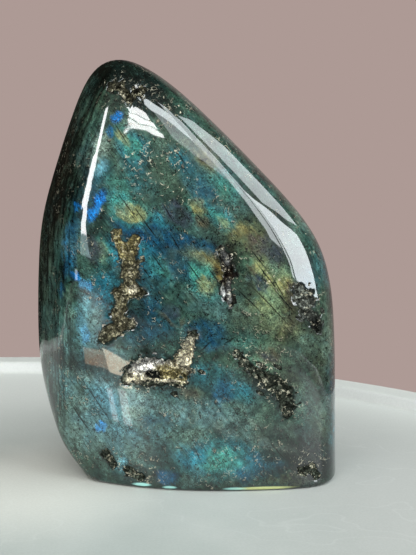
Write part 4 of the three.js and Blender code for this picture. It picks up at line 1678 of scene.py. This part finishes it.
    def crumbs(self) -> tuple[Socket, Socket]:
        """Divides broken rock into crumbs.

        Returns:
            A stray tone for each crumb, and how far a point is from the gaps between them, from 0 to 1.
        """
        graph = self.graph
        bent = graph.vector("ADD", self.at, graph.scaled(graph.sway(self.at, 0.8, 3.0), 1.3))
        feeds = {"Vector": bent, "Scale": 1 / self.finish.crumb}
        cells = graph.add("ShaderNodeTexVoronoi", feeds).outputs["Color"]
        edges = graph.add("ShaderNodeTexVoronoi", feeds, feature="DISTANCE_TO_EDGE").outputs["Distance"]
        tones = graph.add("ShaderNodeSeparateColor", {0: cells}).outputs[0]
        return tones, graph.span(edges, 0.02, 0.22)

    def rock(self, cells: Socket, gaps: Socket, broken: Socket) -> Socket:
        """The crumbly colour of unpolished rock, with painted shade in the gaps between crumbs and along
        the pit's rim, and painted glints.

        Args:
            cells: A stray tone for each crumb, from 0 to 1.
            gaps: Distance from the gaps between crumbs, from 0 to 1.
            broken: How broken the rock is, from 0 to 1.

        Returns:
            The rock's colour, with its painted shade and glints.
        """
        graph = self.graph
        colour = self.lay_all(ROCK_PATCHES, linear(Tone.DARK_ROCK))
        speckle = graph.noise(self.at, 0.5, 4.0, 0.75)
        level = graph.span(cells, 0.1, 0.95, 0.55, 2.5)
        level = graph.times(level, graph.span(speckle, 0.35, 0.65, 0.55, 1.6))
        # Painted shade: darker in the gaps between crumbs, and where the rock breaks away along the pit's
        # rim.
        level = graph.times(level, graph.span(gaps, 0.0, 1.0, 0.38, 1.0))
        level = graph.times(level, graph.span(broken, 0.15, 0.5, 0.3, 1.0))
        lit = graph.scaled(colour, level)
        # Painted glints on the brightest crumbs.
        glint = graph.times(graph.span(cells, 0.72, 0.8), graph.span(speckle, 0.5, 0.56))
        return graph.blend(graph.times(glint, 0.8), lit, linear(Tone.GLINT))


@dataclass(frozen=True)
class FloorFinish:
    """Plain pale stone-like floor with a faint sheen, and painted light and shade on it.

    Attributes:
        roughness: Roughness of the floor.
        clouds: The two tones of its clouds.
        right: The painted shade to the right.
        far: The painted light behind the stone.
        near: The painted shade towards the camera.
        glow: The tone of the painted pool of light to the left of the stone.
        painted_light_place: The middle of that painted light, in millimetres.
        lip: The painted light on the raised lip's slope.
        veins: The tone of the thin veins.
    """

    roughness: float = 0.5
    clouds: tuple[str, str] = ("#a7afaa", "#b5bbb6")
    right: str = "#a9aaa7"
    far: str = "#cdd1cc"
    near: str = "#4a4c4a"
    glow: str = "#d8d9d0"
    painted_light_place: tuple[float, float, float] = (-46.0, -14.0, 0.0)
    lip: str = "#cfd2cf"
    veins: str = "#d9ddd9"

    def build(self, effects: StoneEffects) -> bpy.types.Material:
        """Makes the material.

        Args:
            effects: The shared node groups.

        Returns:
            The finished material.
        """
        material, graph, shader = new_material("pale_floor")
        at = graph.place()
        cloudy = graph.span(graph.noise(at, 45.0, 4.0, 0.6), 0.3, 0.7)
        colour = graph.blend(cloudy, *map(linear, self.clouds))
        split = graph.add("ShaderNodeSeparateXYZ", {0: at})
        across, back, high = (split.outputs[axis] for axis in "XYZ")
        # Painted light and shade: paler behind the stone, darker to the right and darker still towards the
        # camera.
        for way, low, top, most, tone in (
            (across, -40.0, 90.0, 0.6, self.right),
            (back, 10.0, 90.0, 1.0, self.far),
            (back, -40.0, -190.0, 0.85, self.near),
        ):
            colour = graph.blend(graph.span(way, low, top, 0.0, most), colour, linear(tone))
        # Painted light: a pool of light on the floor to the left of the stone.
        off = graph.add("ShaderNodeVectorMath", {0: at, 1: self.painted_light_place}, operation="DISTANCE")
        lit = graph.span(off.outputs["Value"], 50.0, 10.0, 0.0, 0.7)
        colour = graph.blend(lit, colour, linear(self.glow))
        # Painted light on the inner slope of the raised lip.
        slope = graph.times(graph.span(high, 0.3, 1.2), graph.span(high, 4.0, 3.4))
        colour = graph.blend(slope, colour, linear(self.lip))
        bent = graph.vector("ADD", at, graph.noise(at, 30.0, 3.0, output=1))
        vein = graph.noise(graph.vector("MULTIPLY", bent, (0.6, 1.0, 1.0)), 38.0, 3.0, 0.55)
        vein = graph.span(graph.apart(vein, 0.5), 0.006, 0.001, 0.0, 0.1)
        colour = graph.blend(vein, colour, linear(self.veins))
        feeds = {"Vector": at, "Ground": colour, "Grain size": 0.7, "Contrast": 0.25}
        graph.tree.links.new(graph.use(effects.grain, feeds), shader.inputs["Base Color"])
        shader.inputs["Roughness"].default_value = self.roughness
        return material


# The piece


def put_in_scene(name: str, data: bpy.types.ID) -> bpy.types.Object:
    """Makes an object at the origin.

    Args:
        name: What it is called.
        data: Its mesh, light or camera.

    Returns:
        The object, in the scene.
    """
    thing = bpy.data.objects.new(name, data)
    bpy.context.scene.collection.objects.link(thing)
    return thing


@dataclass
class PolishedStone:
    """The stone itself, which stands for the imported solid."""

    skin: StoneSkin
    finish: LabradoriteFinish

    def build(self, effects: StoneEffects) -> bpy.types.Object:
        """Builds the stone and dresses it.

        Args:
            effects: The shared node groups.

        Returns:
            The stone.
        """
        low, high = (np.array(corner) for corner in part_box(NODE))
        mesh = self.skin.mesh(low, high)
        mesh.materials.append(self.finish.build(effects))
        stone = put_in_scene("polished_stone", mesh)
        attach(stone, BODY)
        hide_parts(NODE)
        LOG.info("%s: %d vertices, %d faces", stone.name, len(mesh.vertices), len(mesh.polygons))
        return stone


# The studio


@dataclass(frozen=True)
class SoftBox:
    """One panel of soft light, hung round the stone and facing it.

    Attributes:
        name: What the panel is called.
        turns: The degrees between which it stands, from the front towards the right.
        rises: The degrees between which it stands above the level.
        glow: How bright its face is.
        tint: Its colour.
        aim: The point of the stone that it faces, in metres.
        distance: Its distance from there, in metres.
        mirrored: Whether the polish mirrors it.
        lighting: Whether it lights what is not polished.
    """

    name: str
    turns: tuple[float, float]
    rises: tuple[float, float]
    glow: float
    tint: tuple[float, float, float] = (1.0, 1.0, 1.0)
    aim: tuple[float, float, float] = (0.01, -0.012, 0.07)
    distance: float = 0.8
    mirrored: bool = True
    lighting: bool = False

    def build(self) -> bpy.types.Object:
        """Hangs the panel and returns it."""
        turn, rise = (math.radians(sum(pair) / 2) for pair in (self.turns, self.rises))
        away = Vector((math.sin(turn) * math.cos(rise), -math.cos(turn) * math.cos(rise), math.sin(rise)))
        half_turn, half_rise = (math.radians(pair[1] - pair[0]) / 2 for pair in (self.turns, self.rises))
        light = bpy.data.lights.new(self.name, "AREA")
        light.shape = "RECTANGLE"
        light.size = 2 * self.distance * math.cos(rise) * math.tan(half_turn)
        light.size_y = 2 * self.distance * math.tan(half_rise)
        light.energy = self.glow * math.pi * light.size * light.size_y
        light.color = self.tint
        panel = put_in_scene(self.name, light)
        panel.location = Vector(self.aim) + away * self.distance
        panel.rotation_euler = (-away).to_track_quat("-Z", "Y").to_euler()
        panel.visible_camera = False
        panel.visible_glossy = self.mirrored
        panel.visible_diffuse = self.lighting
        return panel


@dataclass
class Studio:
    """Floor, backdrop, lights and camera.

    Attributes:
        floor_radius: Radius of the round floor, in metres.
        floor_middle: Its middle, in metres.
        floor_thickness: Its thickness at the lip, in metres.
        lip_width: Width of the raised lip's top, in metres.
        lip_slope: Width of the lip's inner slope, in metres.
        lip_height: Height of the lip over the floor, in metres.
        floor_round: Radius of the floor's edges, in metres.
        floor_gap: How far the floor lies below the stone's foot, in metres.
        floor_segments: Straight pieces that its rim is made of.
        camera_place: Where the camera stands, in metres.
        camera_pitch: Degrees that it looks down.
        lens: Its focal length, in millimetres.
        sensor: Width of its sensor, in millimetres.
        backdrop_tone: The colour behind the stone.
        room_tone: The colour of the light from all round.
        wall_tone: The wall that the polish mirrors.
        dim_tone: The rest of the room that it mirrors.
        wall_way: The way to that wall.
        boxes: The light panels.
    """

    floor_radius: float = 0.248
    floor_middle: tuple[float, float] = (-0.073, -0.1205)
    floor_thickness: float = 0.012
    lip_width: float = 0.0095
    lip_slope: float = 0.0025
    lip_height: float = 0.0042
    floor_round: float = 0.001
    floor_gap: float = 0.00005
    floor_segments: int = 192
    camera_place: tuple[float, float, float] = (0.00635, -0.28946, 0.1044)
    camera_pitch: float = 9.0
    lens: float = 64.865
    sensor: float = 36.0
    backdrop_tone: str = "#ad9a95"
    room_tone: str = "#c0bfbd"
    wall_tone: str = "#8f807c"
    dim_tone: str = "#1a1512"
    wall_way: tuple[float, float, float] = (0.57, 0.82, 0.0)
    boxes: tuple[SoftBox, ...] = (
        SoftBox("window_haze", (1, 20), (29.5, 39.5), 13.0, DAYLIGHT, SHOULDER),
        SoftBox("window_mist", (3, 20), (19.5, 29.5), 3.8, DAYLIGHT, SHOULDER),
        SoftBox("window_front", (20.2, 27), (5, 46), 8.0, DAYLIGHT, SHOULDER),
        SoftBox("window_slit", (27.8, 29.6), (-1, 42), 10.5, DAYLIGHT, SHOULDER),
        SoftBox("window_low", (30.4, 72), (-1, 24), 13.5, DAYLIGHT, SHOULDER),
        SoftBox("window_high", (40, 102), (29, 52), 7.8, DAYLIGHT, SHOULDER, lighting=True),
        SoftBox("blind_low", (-8, 1), (15.6, 17.4), 18.0, aim=CROWN),
        SoftBox("blind_middle", (-7.5, 0), (17.7, 19.5), 20.0, aim=CROWN),
        SoftBox("blind_high", (-7, -1), (19.8, 23.5), 18.0, aim=CROWN),
        SoftBox("door_strip", (-27, -19), (-1, 23), 18.0, aim=RIDGE),
        SoftBox("door_fade", (-27, -19), (-5, -1), 4.0, (0.7, 0.95, 1.0), RIDGE),
        SoftBox("door_panel", (-34, -26), (6, 15), 18.0, aim=RIDGE),
        SoftBox("door_glimmer", (-42, -34), (-19, -9), 5.0, aim=RIDGE),
        SoftBox("cream_card", (-31, -11), (-21.5, -14.5), 8.0, (1.0, 0.82, 0.6), FOOT, 0.07),
        SoftBox("brown_card", (-46, -31), (-20.5, -15.5), 2.6, (1.0, 0.6, 0.36), FOOT, 0.07),
        SoftBox("gleam_left", (-36, -31.5), (-32.5, -17), 3.4, aim=HEEL, distance=0.045),
        SoftBox("gleam_right", (-27, -20), (-32.5, -16), 3.2, aim=HEEL, distance=0.045),
        SoftBox("front_fill", (-45, 25), (5, 50), 2.6, distance=0.9, mirrored=False, lighting=True),
        SoftBox("fill", (-50, 40), (35, 75), 1.2, distance=0.9, mirrored=False, lighting=True),
    )

    def _floor(self, effects: StoneEffects) -> bpy.types.Object:
        """Makes the round floor."""
        disc = bmesh.new()
        bmesh.ops.create_cone(
            disc,
            cap_ends=True,
            segments=self.floor_segments,
            radius1=self.floor_radius,
            radius2=self.floor_radius,
            depth=self.floor_thickness,
        )
        top = [face for face in disc.faces if face.normal.z > 0.5]
        bmesh.ops.inset_region(disc, faces=top, thickness=self.lip_width)
        bmesh.ops.inset_region(disc, faces=top, thickness=self.lip_slope, depth=-self.lip_height)
        creases = [edge for edge in disc.edges if edge.calc_face_angle(0) > 0.5]
        bmesh.ops.bevel(
            disc,
            geom=creases,
            offset=self.floor_round,
            affect="EDGES",
            segments=3,
            profile=0.5,
            material=-1,
        )
        x, y = self.floor_middle
        drop = self.lip_height - self.floor_thickness / 2 - self.floor_gap
        bmesh.ops.translate(disc, verts=disc.verts, vec=(x, y, drop))
        mesh = bpy.data.meshes.new("floor")
        disc.to_mesh(mesh)
        disc.free()
        mesh.materials.append(FloorFinish().build(effects))
        floor = put_in_scene("floor", mesh)
        floor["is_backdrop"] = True
        return floor

    def _world(self) -> None:
        """Gives the camera a plain backdrop and the polish a dim room."""
        world = bpy.data.worlds.new("studio")
        world.use_nodes = True
        bpy.context.scene.world = world
        graph = Graph(world.node_tree)
        world.node_tree.nodes.clear()
        path = graph.add("ShaderNodeLightPath")
        seen = graph.add("ShaderNodeBackground", {"Color": linear(self.backdrop_tone), "Strength": 1.0})
        room = graph.add("ShaderNodeBackground", {"Color": linear(self.room_tone), "Strength": 0.72})
        way = graph.add("ShaderNodeTexCoord").outputs["Generated"]
        wall = graph.span(graph.dot(way, self.wall_way), 0.7, 0.9)
        shade = graph.blend(wall, linear(self.dim_tone), linear(self.wall_tone))
        mirror = graph.add("ShaderNodeBackground", {"Color": shade, "Strength": 1.0})
        feeds = {0: path.outputs["Is Glossy Ray"], 1: room.outputs[0], 2: mirror.outputs[0]}
        mixed = graph.add("ShaderNodeMixShader", feeds)
        feeds = {0: path.outputs["Is Camera Ray"], 1: mixed.outputs[0], 2: seen.outputs[0]}
        whole = graph.add("ShaderNodeMixShader", feeds)
        graph.add("ShaderNodeOutputWorld", {"Surface": whole.outputs[0]})

    def _camera(self) -> bpy.types.Object:
        """Places the camera at the photograph's angle."""
        lens = bpy.data.cameras.new("camera")
        lens.lens = self.lens
        lens.sensor_width = self.sensor
        lens.clip_start = 0.01
        camera = put_in_scene("camera", lens)
        camera.location = self.camera_place
        camera.rotation_euler = (math.radians(90 - self.camera_pitch), 0, 0)
        bpy.context.scene.camera = camera
        return camera

    def build(self, effects: StoneEffects) -> None:
        """Sets up everything round the stone.

        Args:
            effects: The shared node groups.
        """
        self._floor(effects)
        self._world()
        self._camera()
        for box in self.boxes:
            box.build()
        bpy.context.scene.view_settings.view_transform = "Standard"
        bpy.context.scene.view_settings.look = "None"
        LOG.info("studio: %d lights", len(self.boxes))


def main() -> None:
    """Builds the stone and its studio."""
    logging.basicConfig(level=logging.INFO, format="%(name)s: %(message)s")
    solid_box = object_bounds()
    effects = StoneEffects()
    PolishedStone(StoneSkin(GroundForm(), BrokenRock()), LabradoriteFinish()).build(effects)
    Studio().build(effects)
    sizes = {"cad": solid_box, "visual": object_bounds()}
    plain = {name: [[float(value) for value in corner] for corner in box] for name, box in sizes.items()}
    LOG.info("sizes: %s", plain)


if __name__ == "__main__":
    main()
